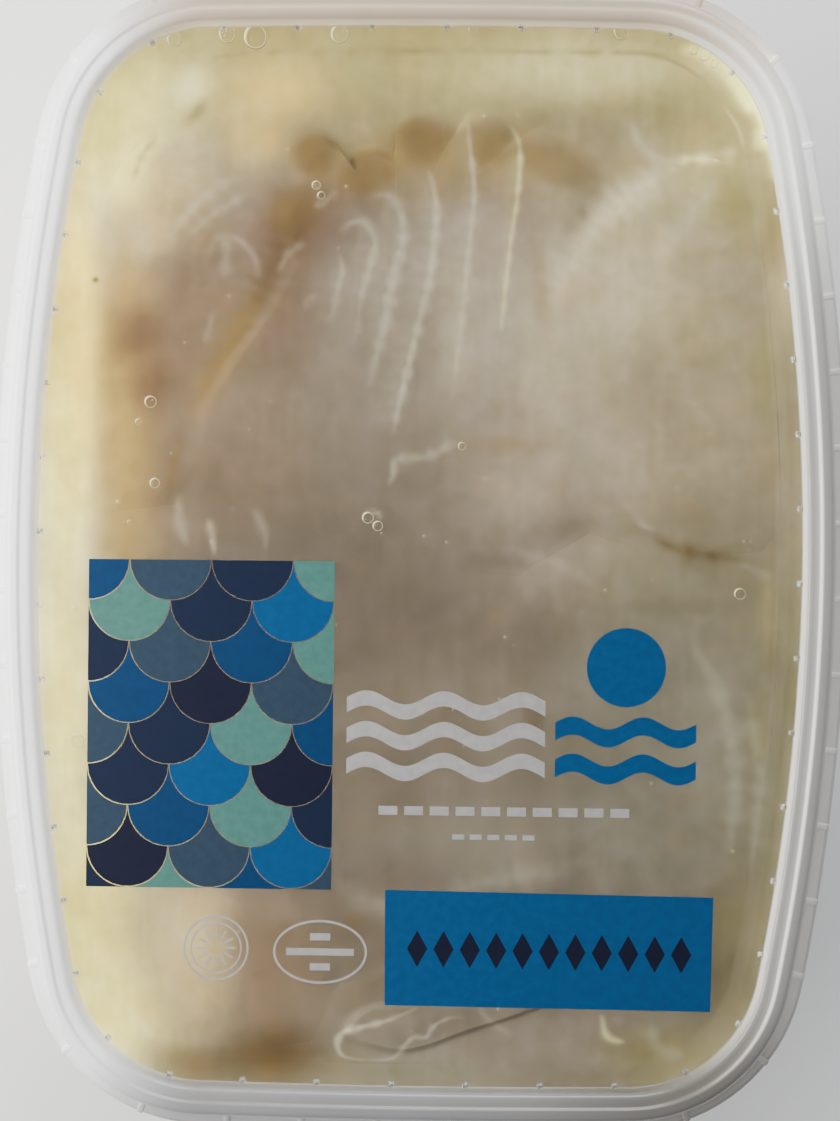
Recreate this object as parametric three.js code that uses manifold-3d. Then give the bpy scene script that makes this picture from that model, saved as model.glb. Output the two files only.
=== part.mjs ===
// A shut clear tub of smoked cod slices. Millimetres, +Z up, the tub's base at z = 0.
// X runs across the tub and Y along it.
import * as THREE from 'three';
import Module from 'manifold-3d';

const wasm = await Module();
wasm.setup();

// Driving sizes. The outline is the inner edge of the lid's rim, a bowed rectangle.
const HALF_WIDTH = 61;
const HALF_LENGTH = 84.5;
const SIDE_BOW_RADIUS = 354;
const END_BOW_RADIUS = 1500;
const CORNER_RADIUS = 21.3;
const HEIGHT = 48;
const GAP = 0.35;
const RIB_PITCH = 11.9;
const CORNER_STEPS = 7;
const SIDE_STEPS = 6;
const END_STEPS = 4;

// Heights that more than one piece needs.
const PANEL_TOP = HEIGHT - 3.9;
const BAND_TOP = HEIGHT - 3.0;
const LID_FLANGE = HEIGHT - 5.1;
const TUB_FLANGE = HEIGHT - 8.1;
const LEDGE = HEIGHT - 10;
const FLOOR = 1.2;
const WALL = 1.1;

// Centres and angles of the three arcs of one quarter, found from tangency.
function quarterArcs() {
  const side = new THREE.Vector2(HALF_WIDTH - SIDE_BOW_RADIUS, 0);
  const end = new THREE.Vector2(0, HALF_LENGTH - END_BOW_RADIUS);
  const toSide = SIDE_BOW_RADIUS - CORNER_RADIUS;
  const toEnd = END_BOW_RADIUS - CORNER_RADIUS;
  const apart = side.distanceTo(end);
  const along = (toSide ** 2 - toEnd ** 2 + apart ** 2) / (2 * apart);
  const across = Math.sqrt(toSide ** 2 - along ** 2);
  const line = end.clone().sub(side).divideScalar(apart);
  const corner = side.clone().addScaledVector(line, along);
  corner.add(new THREE.Vector2(-line.y, line.x).multiplyScalar(across));
  const sideEnd = corner.clone().sub(side).angle();
  const cornerEnd = corner.clone().sub(end).angle();
  return [
    { centre: side, radius: SIDE_BOW_RADIUS, from: 0, to: sideEnd, steps: SIDE_STEPS / 2 },
    { centre: corner, radius: CORNER_RADIUS, from: sideEnd, to: cornerEnd, steps: CORNER_STEPS },
    { centre: end, radius: END_BOW_RADIUS, from: cornerEnd, to: Math.PI / 2, steps: END_STEPS / 2 },
  ];
}

// One quarter of the outline as places with their outward directions.
function quarterPlaces() {
  const places = [];
  for (const arc of quarterArcs()) {
    for (let step = 0; step < arc.steps; step += 1) {
      const angle = arc.from + (arc.to - arc.from) * (step / arc.steps);
      const out = new THREE.Vector2(Math.cos(angle), Math.sin(angle));
      places.push({ at: arc.centre.clone().addScaledVector(out, arc.radius), out });
    }
  }
  return places;
}

// The whole outline, counter-clockwise from the +X side, mirrored from the quarter.
function outlinePlaces() {
  const flip = (p, sx, sy) => ({
    at: new THREE.Vector2(p.at.x * sx, p.at.y * sy),
    out: new THREE.Vector2(p.out.x * sx, p.out.y * sy),
  });
  const quarter = quarterPlaces();
  const top = { at: new THREE.Vector2(0, HALF_LENGTH), out: new THREE.Vector2(0, 1) };
  const half = [...quarter, top, ...quarter.slice(1).reverse().map((p) => flip(p, -1, 1))];
  return [...half, ...half.map((p) => flip(p, -1, -1))];
}

const PLACES = outlinePlaces();

function ring(offset, z) {
  return PLACES.map(({ at, out }) => [at.x + out.x * offset, at.y + out.y * offset, z]);
}

function toManifold(points, triangles) {
  const mesh = new wasm.Mesh({
    numProp: 3,
    vertProperties: new Float32Array(points.flat()),
    triVerts: new Uint32Array(triangles.flat()),
  });
  return new wasm.Manifold(mesh);
}

// Skins a run of rings, each with as many points, from a first to a last middle point.
function skin(firstMiddle, rings, lastMiddle) {
  const count = rings[0].length;
  const points = [firstMiddle, ...rings.flat(), lastMiddle];
  const triangles = [];
  for (let i = 0; i < count; i += 1) {
    const next = (i + 1) % count;
    triangles.push([0, 1 + next, 1 + i]);
    for (let r = 0; r + 1 < rings.length; r += 1) {
      const low = 1 + r * count;
      const high = low + count;
      triangles.push([low + i, low + next, high + next], [low + i, high + next, high + i]);
    }
    const last = 1 + (rings.length - 1) * count;
    triangles.push([points.length - 1, last + i, last + next]);
  }
  return toManifold(points, triangles);
}

// A loft round the outline of a profile of [offset, height] pairs.
function outlineLoft(profile) {
  const rings = profile.map(([offset, z]) => ring(offset, z));
  const middle = (pair) => [0, 0, pair[1]];
  return skin(middle(profile[0]), rings, middle(profile[profile.length - 1]));
}

// A small box that stands on the outline at a place, between two offsets and two heights.
function lug(place, inner, outer, low, high, width) {
  const { at, out } = place;
  const along = new THREE.Vector2(-out.y, out.x).multiplyScalar(width / 2);
  const corner = (offset, side, z) => {
    const p = at.clone().addScaledVector(out, offset).addScaledVector(along, side);
    return [p.x, p.y, z];
  };
  const level = (z) => [
    corner(inner, -1, z), corner(outer, -1, z), corner(outer, 1, z), corner(inner, 1, z),
  ];
  const middle = (z) => [
    at.x + out.x * (inner + outer) / 2, at.y + out.y * (inner + outer) / 2, z,
  ];
  return skin(middle(low), [level(low), level(high)], middle(high));
}

// Places at an even pitch round the outline, found along its straight pieces.
function evenPlaces(pitch, phase) {
  const lengths = PLACES.map((p, i) => p.at.distanceTo(PLACES[(i + 1) % PLACES.length].at));
  const whole = lengths.reduce((sum, length) => sum + length, 0);
  const count = Math.round(whole / pitch);
  const found = [];
  let index = 0;
  let passed = 0;
  for (let k = 0; k < count; k += 1) {
    const goal = (whole * (k + phase)) / count;
    while (passed + lengths[index] < goal) {
      passed += lengths[index];
      index += 1;
    }
    const share = (goal - passed) / lengths[index];
    const here = PLACES[index];
    const next = PLACES[(index + 1) % PLACES.length];
    found.push({
      at: here.at.clone().lerp(next.at, share),
      out: here.out.clone().lerp(next.out, share).normalize(),
    });
  }
  return found;
}

// Offset of the drafted inner wall at a height below the ledge.
function innerWall(z) {
  const low = 5;
  const lowOffset = -5.5;
  const slope = 3.5 / (LEDGE - 1.2 - low);
  return lowOffset + slope * (z - low);
}

function makeTub() {
  const ledgeFoot = LEDGE - 1.2;
  const skirtFoot = TUB_FLANGE - 5.4;
  return outlineLoft([
    [-8, 0],
    [-6.2, 0.6],
    [-5.3, 2.2],
    [innerWall(5) + WALL, 5],
    [innerWall(ledgeFoot) + WALL, ledgeFoot],
    [1.6, LEDGE - 0.4],
    [2.3, TUB_FLANGE - WALL],
    [6.1, TUB_FLANGE - WALL],
    [6.3, skirtFoot],
    [7.2, skirtFoot],
    [7.1, TUB_FLANGE - 0.5],
    [6.6, TUB_FLANGE],
    [3.3, TUB_FLANGE],
    [3.15, HEIGHT - 1.8],
    [2.8, HEIGHT - 1.35],
    [1.8, HEIGHT - 1.35],
    [1.4, HEIGHT - 1.8],
    [1.2, LEDGE + 1],
    [0.7, LEDGE + 0.3],
    [-1.6, LEDGE - 0.4],
    [innerWall(ledgeFoot), ledgeFoot],
    [innerWall(5), 5],
    [-6.3, FLOOR + 1.4],
    [-8.4, FLOOR],
  ]);
}

// The room inside the tub, a little smaller than the real one, which trims the food.
function makeRoom() {
  return outlineLoft([
    [-9.4, FLOOR + GAP],
    [-7, FLOOR + 2],
    [innerWall(6) - 0.5, 6],
    [innerWall(LEDGE - 1.6) - 0.5, LEDGE - 1.6],
    [-2.3, LEDGE],
    [0.1, LEDGE + 0.8],
    [0.5, LEDGE + 1.4],
    [0.6, PANEL_TOP - 1.6],
    [-4, PANEL_TOP - 1.5],
  ]);
}

function lidShell() {
  return outlineLoft([
    [-4.4, PANEL_TOP - 1],
    [-1.8, BAND_TOP - 1],
    [-0.5, BAND_TOP - 1],
    [0.2, BAND_TOP - 2],
    [0.95, BAND_TOP - 1.7],
    [1.05, HEIGHT - 1.4],
    [1.4, HEIGHT - 1],
    [3.1, HEIGHT - 1],
    [3.5, HEIGHT - 1.4],
    [3.9, LID_FLANGE - 0.2],
    [4.2, LID_FLANGE - 0.7],
    [6.4, LID_FLANGE - 0.9],
    [6.6, LID_FLANGE - 2.7],
    [7.5, LID_FLANGE - 2.7],
    [7.4, LID_FLANGE - 0.5],
    [6.9, LID_FLANGE],
    [4.9, LID_FLANGE + 0.7],
    [4.6, HEIGHT - 1],
    [4.2, HEIGHT - 0.3],
    [3.4, HEIGHT],
    [1.3, HEIGHT],
    [0.5, HEIGHT - 0.2],
    [-0.1, BAND_TOP + 0.4],
    [-0.5, BAND_TOP],
    [-1.8, BAND_TOP],
    [-4.4, PANEL_TOP],
  ]);
}

// The lid's rim has a short rib on its lower flange at each pitch, and a small square
// lug at the foot of its inner face.
function makeLid() {
  const ribs = evenPlaces(RIB_PITCH, 0.5).map((place) => (
    lug(place, 4.35, 7.15, LID_FLANGE - 0.5, LID_FLANGE + 1.2, 1.1)
  ));
  const lugs = evenPlaces(RIB_PITCH, 0.7).map((place) => (
    lug(place, -1.35, 0.5, BAND_TOP - 0.5, BAND_TOP + 1.3, 1.3)
  ));
  return wasm.Manifold.union([lidShell(), ...ribs, ...lugs]);
}

// Seeded noise made of a few turned waves, the same for every run.
function wobble(x, y, scale, seed) {
  let sum = 0;
  for (let k = 1; k <= 3; k += 1) {
    const turn = seed * 1.7 + k * 2.1;
    const along = x * Math.cos(turn) + y * Math.sin(turn);
    sum += Math.sin((along * k) / scale + seed * k) / k;
  }
  return sum / 1.83;
}

const SLICE_SPOKES = 24;
const SLICE_RINGS = [0.4, 0.72, 0.92, 1];

// The slices that show, from the lowest to the highest. Corners are the places their
// rounded outlines pass, top is the height of the middle, and sag how far the edge drops.
const SLICES = [
  {
    name: 'back_slice', top: 37.6, thick: 3.6, sag: 1.2,
    corners: [[-54, 77], [0, 80], [52, 77], [57, 50], [0, 45], [-53, 50]],
  },
  {
    name: 'left_slice', top: 40.6, thick: 5.2, sag: 1.6,
    corners: [[-54, 58], [-42, 69], [-22, 64], [-13, 46], [-28, 14], [-55, 4]],
  },
  {
    name: 'right_slice', top: 40.4, thick: 5.6, sag: 1.5,
    corners: [[24, 54], [52, 66], [60, 40], [61, 3], [40, -4], [16, 18]],
  },
  {
    name: 'lower_left_slice', top: 40.6, thick: 6, sag: 1.8,
    corners: [[-57, 10], [-30, 6], [-13, -30], [-14, -82], [-45, -80], [-57, -44]],
  },
  {
    name: 'lower_right_slice', top: 40.8, thick: 5.4, sag: 1.6,
    corners: [[15, 0], [60, 3], [60, -38], [50, -72], [22, -66], [10, -34]],
  },
  {
    name: 'bottom_slice', top: 40.2, thick: 4.6, sag: 1.4,
    corners: [[-20, -84], [-14, -68], [18, -64], [50, -68], [44, -84], [12, -85]],
  },
  {
    name: 'middle_slice', top: 41.4, thick: 4.8, sag: 1.7,
    corners: [[-32, 0], [16, 0], [30, -36], [22, -66], [-12, -71], [-32, -42]],
  },
  {
    name: 'central_slice', top: 42.1, thick: 5.4, sag: 1.6, spokes: 60,
    dip: { from: 56, to: 73, depth: 2 },
    corners: [
      [-39, 18], [-34, 28], [-27, 38], [-23, 48], [-24.5, 55], [-22.5, 59.5], [-21.5, 65.5],
      [-17.5, 68.4], [-13.7, 66], [-12.7, 62.8], [-11.4, 65.3], [-8.3, 66.6], [-4.9, 65.6],
      [-4.2, 69.6], [-0.4, 72.6], [4.2, 71.3], [5.8, 68.9], [7.2, 71.6], [10.8, 73], [14.6, 71.2],
      [16.4, 68.4], [20, 69.6], [25.2, 67.2], [28.5, 61],
      [27, 46], [29, 25], [28, 4], [0, -13], [-30, -9], [-40, 3],
    ],
  },
  {
    name: 'folded_slice', top: 41.9, thick: 3, sag: 1.3,
    corners: [[-12.5, -77], [-10, -73.2], [-2, -71], [12, -68], [22, -71], [10, -76], [-3, -80]],
  },
];

// Height of a slice's upper face at a place, share being 0 at its middle and 1 at its edge.
// A dip bends it down towards one end, between two places along the tub.
function sliceTop(slice, share, x, y, seed) {
  const wave = 0.35 * wobble(x, y, 9, seed) * (1 - share ** 2);
  const { from, to, depth } = slice.dip ?? { from: 0, to: 1, depth: 0 };
  const bend = depth * THREE.MathUtils.smoothstep(y, from, to);
  return slice.top - slice.sag * share ** 3 + wave - bend;
}

// A slice as a slab with a domed top and a flatter underside, grown all round by grow.
function makeSlab(slice, seed, grow) {
  const corners = slice.corners.map(([x, y]) => new THREE.Vector3(x, y, 0));
  const middle = corners.reduce((sum, p) => sum.add(p), new THREE.Vector3());
  middle.divideScalar(corners.length);
  const edge = new THREE.CatmullRomCurve3(corners, true, 'centripetal');
  const count = slice.spokes ?? SLICE_SPOKES;
  const plain = edge.getSpacedPoints(count).slice(0, count).reverse();
  const spokes = plain.map((spoke, i) => {
    const along = plain[(i + 1) % count].clone().sub(plain[(i + count - 1) % count]);
    const out = new THREE.Vector3(along.y, -along.x, 0).normalize();
    return spoke.clone().addScaledVector(out, grow);
  });
  const place = (share, spoke) => middle.clone().lerp(spoke, share);
  const upper = SLICE_RINGS.map((share) => spokes.map((spoke) => {
    const p = place(share, spoke);
    return [p.x, p.y, sliceTop(slice, share, p.x, p.y, seed) + grow];
  })).reverse();
  const low = slice.top - slice.thick - grow;
  const lower = [0.86, 0.985].map((share, step) => spokes.map((spoke) => {
    const p = place(share, spoke);
    return [p.x, p.y, low + 0.9 * step];
  }));
  const topMiddle = sliceTop(slice, 0, middle.x, middle.y, seed) + grow;
  return skin(
    [middle.x, middle.y, low],
    [...lower, ...upper],
    [middle.x, middle.y, topMiddle],
  );
}

// The biggest piece of a solid that cutting may have split.
function biggest(solid) {
  return solid.decompose().reduce((best, piece) => (
    piece.volume() > best.volume() ? piece : best
  ));
}

// Each slice gives way to those that lie on it.
function makeSlices(room) {
  const grown = SLICES.map((slice, i) => makeSlab(slice, i + 1, GAP));
  return SLICES.map((slice, i) => {
    const own = makeSlab(slice, i + 1, 0).intersect(room);
    const above = grown.slice(i + 1);
    const cut = above.length ? own.subtract(wasm.Manifold.union(above)) : own;
    return { name: slice.name, solid: biggest(cut) };
  });
}

// The slices below, packed as one stack whose side shows a rounded edge for each layer.
const STACK_LAYERS = 5;
const STACK_TOP = 33.4;
const STACK_FOOT = FLOOR + GAP + 0.1;

function makeStack(room) {
  const rings = [];
  const deep = (STACK_TOP - STACK_FOOT) / STACK_LAYERS;
  for (let layer = 0; layer < STACK_LAYERS; layer += 1) {
    for (const [share, bulge] of [[0.08, -1.4], [0.5, 0]]) {
      const z = STACK_FOOT + deep * (layer + share);
      rings.push(PLACES.map(({ at, out }) => {
        const away = 1.3 + 1.1 * wobble(at.x, at.y, 13, layer + 3);
        const offset = innerWall(Math.max(z, 5)) - 0.6 - away + bulge;
        const lift = 0.7 * wobble(at.x, at.y, 16, layer + 7) * (layer > 0 ? 1 : 0);
        return [at.x + out.x * offset, at.y + out.y * offset, z + lift];
      }));
    }
  }
  const crown = innerWall(STACK_TOP) - 4.2;
  rings.push(ring(crown, STACK_TOP));
  return skin([0, 0, STACK_FOOT], rings, [0, 0, STACK_TOP]).intersect(room);
}

const clearPlastic = { color: 0xe9ece8, roughness: 0.15, metalness: 0 };
const lidPlastic = { color: 0xf2f4f3, roughness: 0.15, metalness: 0 };
const fish = { color: 0xc9bd9a, roughness: 0.45, metalness: 0 };

function toMesh(name, solid, look) {
  const { vertProperties, triVerts } = solid.getMesh();
  const geometry = new THREE.BufferGeometry();
  geometry.setAttribute('position', new THREE.BufferAttribute(vertProperties.slice(), 3));
  geometry.setIndex(new THREE.BufferAttribute(triVerts.slice(), 1));
  geometry.computeVertexNormals();
  const mesh = new THREE.Mesh(geometry, new THREE.MeshStandardMaterial(look));
  mesh.name = name;
  return mesh;
}

const room = makeRoom();
const group = new THREE.Group();
group.name = 'tub_of_smoked_cod';
group.add(toMesh('tub', makeTub(), clearPlastic));
group.add(toMesh('lid', makeLid(), lidPlastic));
group.add(toMesh('cod_stack', makeStack(room), fish));
for (const { name, solid } of makeSlices(room)) {
  group.add(toMesh(name, solid, fish));
}

export default group;
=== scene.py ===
# %% [markdown]
# # A shut tub of smoked cod
# The real thing is a clear, slightly milky plastic tub with a push-on lid. It is packed to
# the lid with slices of smoked cod, which lie in pale yellow oil. The plain solids of every
# piece come with the frame. This script gives each one its fine shape and its finish, and
# it works in millimetres up to the moment when a mesh is made.

import bpy
import numpy as np
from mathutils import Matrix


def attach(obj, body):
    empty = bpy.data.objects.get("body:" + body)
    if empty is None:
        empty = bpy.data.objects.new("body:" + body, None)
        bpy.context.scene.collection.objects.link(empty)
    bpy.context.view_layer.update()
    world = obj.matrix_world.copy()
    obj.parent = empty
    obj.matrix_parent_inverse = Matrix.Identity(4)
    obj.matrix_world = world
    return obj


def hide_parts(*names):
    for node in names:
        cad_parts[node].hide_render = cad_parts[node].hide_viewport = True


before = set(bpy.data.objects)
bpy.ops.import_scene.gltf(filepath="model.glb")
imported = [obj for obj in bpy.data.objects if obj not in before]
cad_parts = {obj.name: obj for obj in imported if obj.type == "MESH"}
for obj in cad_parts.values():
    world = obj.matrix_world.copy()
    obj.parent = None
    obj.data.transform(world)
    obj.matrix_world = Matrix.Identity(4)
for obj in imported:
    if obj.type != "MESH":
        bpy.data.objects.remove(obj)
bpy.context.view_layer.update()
MM = 0.001
print("frame nodes:", sorted(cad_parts))

# %% [markdown]
# ## The camera
# The photograph looks almost straight down, from about 30 cm above the lid. The camera is
# turned a little, so that the tub leans clockwise as it does in the picture. Its place and
# turn come from fitting the two edges of the lid's rim.

# %% Camera
HEIGHT = 48.0
EYE = (6.2, 1.4, HEIGHT + 300.0)
EYE_TURN = (-0.0061, 0.0198, 0.0107)
EYE_LENS = 61.3

eye_data = bpy.data.cameras.new("eye")
eye_data.sensor_fit = "AUTO"
eye_data.sensor_width = 36.0
eye_data.lens = EYE_LENS
eye_data.clip_start = 0.01
eye = bpy.data.objects.new("eye", eye_data)
eye.location = [c * MM for c in EYE]
eye.rotation_euler = EYE_TURN
bpy.context.scene.collection.objects.link(eye)
bpy.context.scene.camera = eye
print("camera at", tuple(round(c, 3) for c in eye.location))

# %% [markdown]
# ## Light and floor
# The light in the photograph comes from the left and from the far end, as from a window.
# One long soft lamp stands there, a weaker one fills from the far end, and the world gives
# an even pale light. Straight above, the room is dark, so that the clear lid shows what
# lies under it and not a pale reflection. The floor is a plain pale sheet.

# %% Lamps
def soft_lamp(name, place, aim, size, power, colour):
    """An oval area lamp at place that looks at aim; sizes in millimetres, power in watts."""
    lamp = bpy.data.lights.new(name, "AREA")
    lamp.shape = "ELLIPSE"
    lamp.size, lamp.size_y = size[0] * MM, size[1] * MM
    lamp.energy = power
    lamp.color = colour
    holder = bpy.data.objects.new(name, lamp)
    holder.location = [c * MM for c in place]
    away = holder.location - type(holder.location)([c * MM for c in aim])
    holder.rotation_euler = away.to_track_quat("Z", "Y").to_euler()
    bpy.context.scene.collection.objects.link(holder)
    return holder


soft_lamp("window", place=(-200.0, 25.0, 165.0), aim=(-20.0, 15.0, 40.0), size=(420.0, 80.0),
          power=1.35, colour=(1.0, 0.985, 0.96))
soft_lamp("fill", place=(40.0, 330.0, 235.0), aim=(0.0, 0.0, 20.0), size=(250.0, 250.0),
          power=1.5, colour=(0.97, 0.98, 1.0))
print("lamps:", sorted(lamp.name for lamp in bpy.data.lights))

# %% World and floor
ROOM_TINT = (0.93, 0.95, 1.0)
CEILING_TINT = (0.06, 0.06, 0.065)
CEILING_START, CEILING_FULL = 0.84, 0.93
ROOM_STRENGTH = 0.62
world = bpy.data.worlds.new("studio")
world.use_nodes = True
sky = world.node_tree.nodes["Background"]
sky.inputs["Strength"].default_value = ROOM_STRENGTH
toward = world.node_tree.nodes.new("ShaderNodeTexCoord")
split = world.node_tree.nodes.new("ShaderNodeSeparateXYZ")
climb = world.node_tree.nodes.new("ShaderNodeValToRGB")
stops = [(CEILING_START, ROOM_TINT), (CEILING_FULL, CEILING_TINT)]
for element, (steepness, tint) in zip(climb.color_ramp.elements, stops):
    element.position = steepness
    element.color = (*tint, 1.0)
world.node_tree.links.new(toward.outputs["Generated"], split.inputs[0])
world.node_tree.links.new(split.outputs["Z"], climb.inputs["Fac"])
world.node_tree.links.new(climb.outputs["Color"], sky.inputs["Color"])
bpy.context.scene.world = world

FLOOR_REACH = 1500.0
floor_mesh = bpy.data.meshes.new("floor")
floor_corners = FLOOR_REACH * MM * np.array([[-1, -1, 0], [1, -1, 0], [1, 1, 0], [-1, 1, 0]])
floor_mesh.from_pydata(floor_corners.tolist(), [], [(0, 1, 2, 3)])
floor = bpy.data.objects.new("floor", floor_mesh)
bpy.context.scene.collection.objects.link(floor)
print("world and floor are set")

# %% [markdown]
# ## Making surfaces from arrays
# Every piece here is a grid of points: rings that run round something, one after another.
# The points are computed as one array and put into the mesh in one go. The two ends of the
# run of rings are closed by a fan to a middle point, or the rings join up as in a tyre.

# %% Grid to mesh
def ring_faces(rings, count, join):
    """Faces between neighbouring rings; join also links the last ring to the first."""
    r = np.arange(rings if join else rings - 1)[:, None]
    i = np.arange(count)[None, :]
    low = (r % rings) * count
    high = ((r + 1) % rings) * count
    step = (i + 1) % count
    quads = np.stack([low + i, low + step, high + step, high + i], axis=-1)
    return quads.reshape(-1, 4)


def fan_faces(ring_start, count, middle, flip):
    """Triangles from one ring to a middle point."""
    i = np.arange(count)
    step = (i + 1) % count
    order = [ring_start + step, ring_start + i] if flip else [ring_start + i, ring_start + step]
    return np.stack([*order, np.full(count, middle)], axis=-1)


def mesh_piece(name, verts, faces, smooth=True):
    """A mesh object from points in millimetres and faces."""
    mesh = bpy.data.meshes.new(name)
    mesh.from_pydata((np.asarray(verts) * MM).tolist(), [], faces)
    mesh.polygons.foreach_set("use_smooth", np.full(len(mesh.polygons), smooth))
    mesh.update()
    piece = bpy.data.objects.new(name, mesh)
    bpy.context.scene.collection.objects.link(piece)
    return piece


def surface(name, *grids, join=False):
    """A mesh object from grids of shape (rings, count, 3), closed at both ends or joined."""
    verts, faces = [], []
    for grid in grids:
        rings, count, _ = grid.shape
        start = sum(len(points) for points in verts)
        verts.append(grid.reshape(-1, 3))
        faces += (ring_faces(rings, count, join) + start).tolist()
        if not join:
            end = rings * count
            verts.append([grid[0].mean(axis=0), grid[-1].mean(axis=0)])
            faces += (fan_faces(0, count, end, True) + start).tolist()
            faces += (fan_faces(end - count, count, end + 1, False) + start).tolist()
    return mesh_piece(name, np.vstack(verts), faces)


# %% Tones and places
def keep_tones(piece, tone_of):
    """Works out a colour for each vertex, and keeps it on the mesh for a finish to read."""
    mesh = piece.data
    places = np.empty(3 * len(mesh.vertices))
    mesh.vertices.foreach_get("co", places)
    colours = tone_of(*places.reshape(-1, 3).T / MM)
    layer = mesh.attributes.new("tone", "FLOAT_COLOR", "POINT")
    layer.data.foreach_set("color", np.column_stack([colours, np.ones(len(colours))]).ravel())
    return piece


def place(piece, nodes, slot, material):
    """Rides the piece on the tub, hides the frame's parts that it stands for and gives it its
    material.
    """
    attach(piece, "root")
    if nodes:
        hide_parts(*nodes)
    piece.data.materials.append(material)
    print(piece.name, len(piece.data.polygons), "faces")
    return piece


# %% [markdown]
# ## The outline
# Seen from above the tub is a bowed rectangle: two long arcs, two flatter ones at the ends
# and four round corners, all tangent. Each ring of the tub and the lid is this outline
# moved out or in along its normals, so all walls stay parallel.

# %% Outline
HALF_WIDTH = 61.0
HALF_LENGTH = 84.5
SIDE_BOW = 354.0
END_BOW = 1500.0
CORNER = 21.3


def quarter_arcs():
    """Centres, radii and first angles of the three tangent arcs of one quarter."""
    side = np.array([HALF_WIDTH - SIDE_BOW, 0.0])
    end = np.array([0.0, HALF_LENGTH - END_BOW])
    to_side, to_end = SIDE_BOW - CORNER, END_BOW - CORNER
    apart = np.linalg.norm(end - side)
    along = (to_side ** 2 - to_end ** 2 + apart ** 2) / (2 * apart)
    across = np.sqrt(to_side ** 2 - along ** 2)
    line = (end - side) / apart
    corner = side + along * line + across * np.array([-line[1], line[0]])
    side_end = np.arctan2(*(corner - side)[::-1])
    corner_end = np.arctan2(*(corner - end)[::-1])
    centres = np.array([side, corner, end])
    radii = np.array([SIDE_BOW, CORNER, END_BOW])
    angles = np.array([0.0, side_end, corner_end, np.pi / 2])
    return centres, radii, angles


def outline(share, offset=0.0):
    """Points and outward directions at shares 0 to 1 of the way round from +X.

    The share is turned into a length along one quarter, which picks an arc and an angle.
    The point is the arc's centre plus the direction times radius plus offset, and the
    other three quarters are mirror images."""
    centres, radii, angles = quarter_arcs()
    lengths = radii * np.diff(angles)
    quarter = lengths.sum()
    travel = (np.asarray(share) % 1.0) * 4
    which = travel.astype(int)
    local = travel - which
    local = np.where(which % 2 == 1, 1 - local, local) * quarter
    arc = np.searchsorted(np.cumsum(lengths)[:2], local, side="right")
    start = np.concatenate([[0.0], np.cumsum(lengths)[:2]])[arc]
    angle = angles[arc] + (local - start) / radii[arc]
    out = np.stack([np.cos(angle), np.sin(angle)], axis=-1)
    at = centres[arc] + out * radii[arc][..., None]
    mirror = np.stack([
        np.where((which == 1) | (which == 2), -1.0, 1.0),
        np.where(which >= 2, -1.0, 1.0),
    ], axis=-1)
    out = out * mirror
    return at * mirror + out * np.asarray(offset)[..., None], out


girth = 4 * (quarter_arcs()[1] * np.diff(quarter_arcs()[2])).sum()
print("the outline is", round(girth, 1), "mm round")

# %% Distance from the outline
TINY = 1e-9


def offset_at(x, y):
    """How far outside the outline points lie, below zero inside, and the way outward.

    A point belongs to the round corner if it lies in that arc's wedge, and else to the
    side or the end, whichever it is farther out of."""
    centres, radii, angles = quarter_arcs()
    point = np.stack([np.abs(x), np.abs(y)], axis=-1)
    from_arc = point[..., None, :] - centres
    away = np.linalg.norm(from_arc, axis=-1)
    offset = away - radii
    turn = np.arctan2(from_arc[..., 1, 1], from_arc[..., 1, 0])
    in_corner = (turn > angles[1]) & (turn < angles[2])
    which = np.where(in_corner, 1, np.where(offset[..., 0] > offset[..., 2], 0, 2))[..., None]
    way = np.take_along_axis(from_arc, which[..., None], axis=-2)[..., 0, :]
    way = way / np.maximum(np.take_along_axis(away, which, axis=-1), TINY)
    way = way * np.stack([np.sign(x), np.sign(y)], axis=-1)
    return np.take_along_axis(offset, which, axis=-1)[..., 0], way


LEFT_REACH = 0.7


def by_side(way, tones):
    """Blends the tones of the four sides, which carry painted light, by the way outward.

    The lit left side, where the window lamp falls, reaches on round its two corners."""
    left = np.clip(-way[..., 0] / LEFT_REACH, 0, 1) ** 2
    shares = {"right": np.clip(way[..., 0], 0, None) ** 2,
              "far": np.clip(way[..., 1], 0, None) ** 2,
              "near": np.clip(-way[..., 1], 0, None) ** 2}
    rest = (1 - left) / np.maximum(sum(shares.values()), TINY)
    blend = left[..., None] * np.array(tones["left"])
    for name, share in shares.items():
        blend = blend + (rest * share)[..., None] * np.array(tones[name])
    return blend


# %% Lofts round the outline
ROUND_COUNT = 320
LEG_SHARE = 0.45


def rounded(profile, radius=0.35, steps=4):
    """Rounds the corners of a line of [offset, height] pairs with short curves.

    Each corner is swapped for a quadratic curve between two points on its legs, which are
    radius away or 45 percent of the leg when that is shorter."""
    line = np.asarray(profile, dtype=float)
    made = [line[:1]]
    t = np.linspace(0, 1, steps)[:, None]
    for before, corner, after in zip(line[:-2], line[1:-1], line[2:]):
        back, on = before - corner, after - corner
        a = corner + back * min(LEG_SHARE, radius / np.linalg.norm(back))
        b = corner + on * min(LEG_SHARE, radius / np.linalg.norm(on))
        made.append((1 - t) ** 2 * a + 2 * t * (1 - t) * corner + t ** 2 * b)
    made.append(line[-1:])
    return np.vstack(made)


def loft(profile, count=ROUND_COUNT):
    """Points of shape (rings, count, 3): the outline moved out by each offset, at its height."""
    share = np.arange(count) / count
    at, out = outline(share)
    offset, z = profile[:, 0], profile[:, 1]
    flat = at[None] + out[None] * offset[:, None, None]
    high = np.broadcast_to(z[:, None, None], (*flat.shape[:2], 1))
    return np.concatenate([flat, high], axis=-1)


# %% [markdown]
# ## Small helpers for node materials
# A finish is a graph of nodes. One helper adds a node and wires or sets its inputs, and
# another starts a material with a Principled shader.

# %% Node helpers
COLOUR_A, COLOUR_B, MIXED = 6, 7, 2


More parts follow.
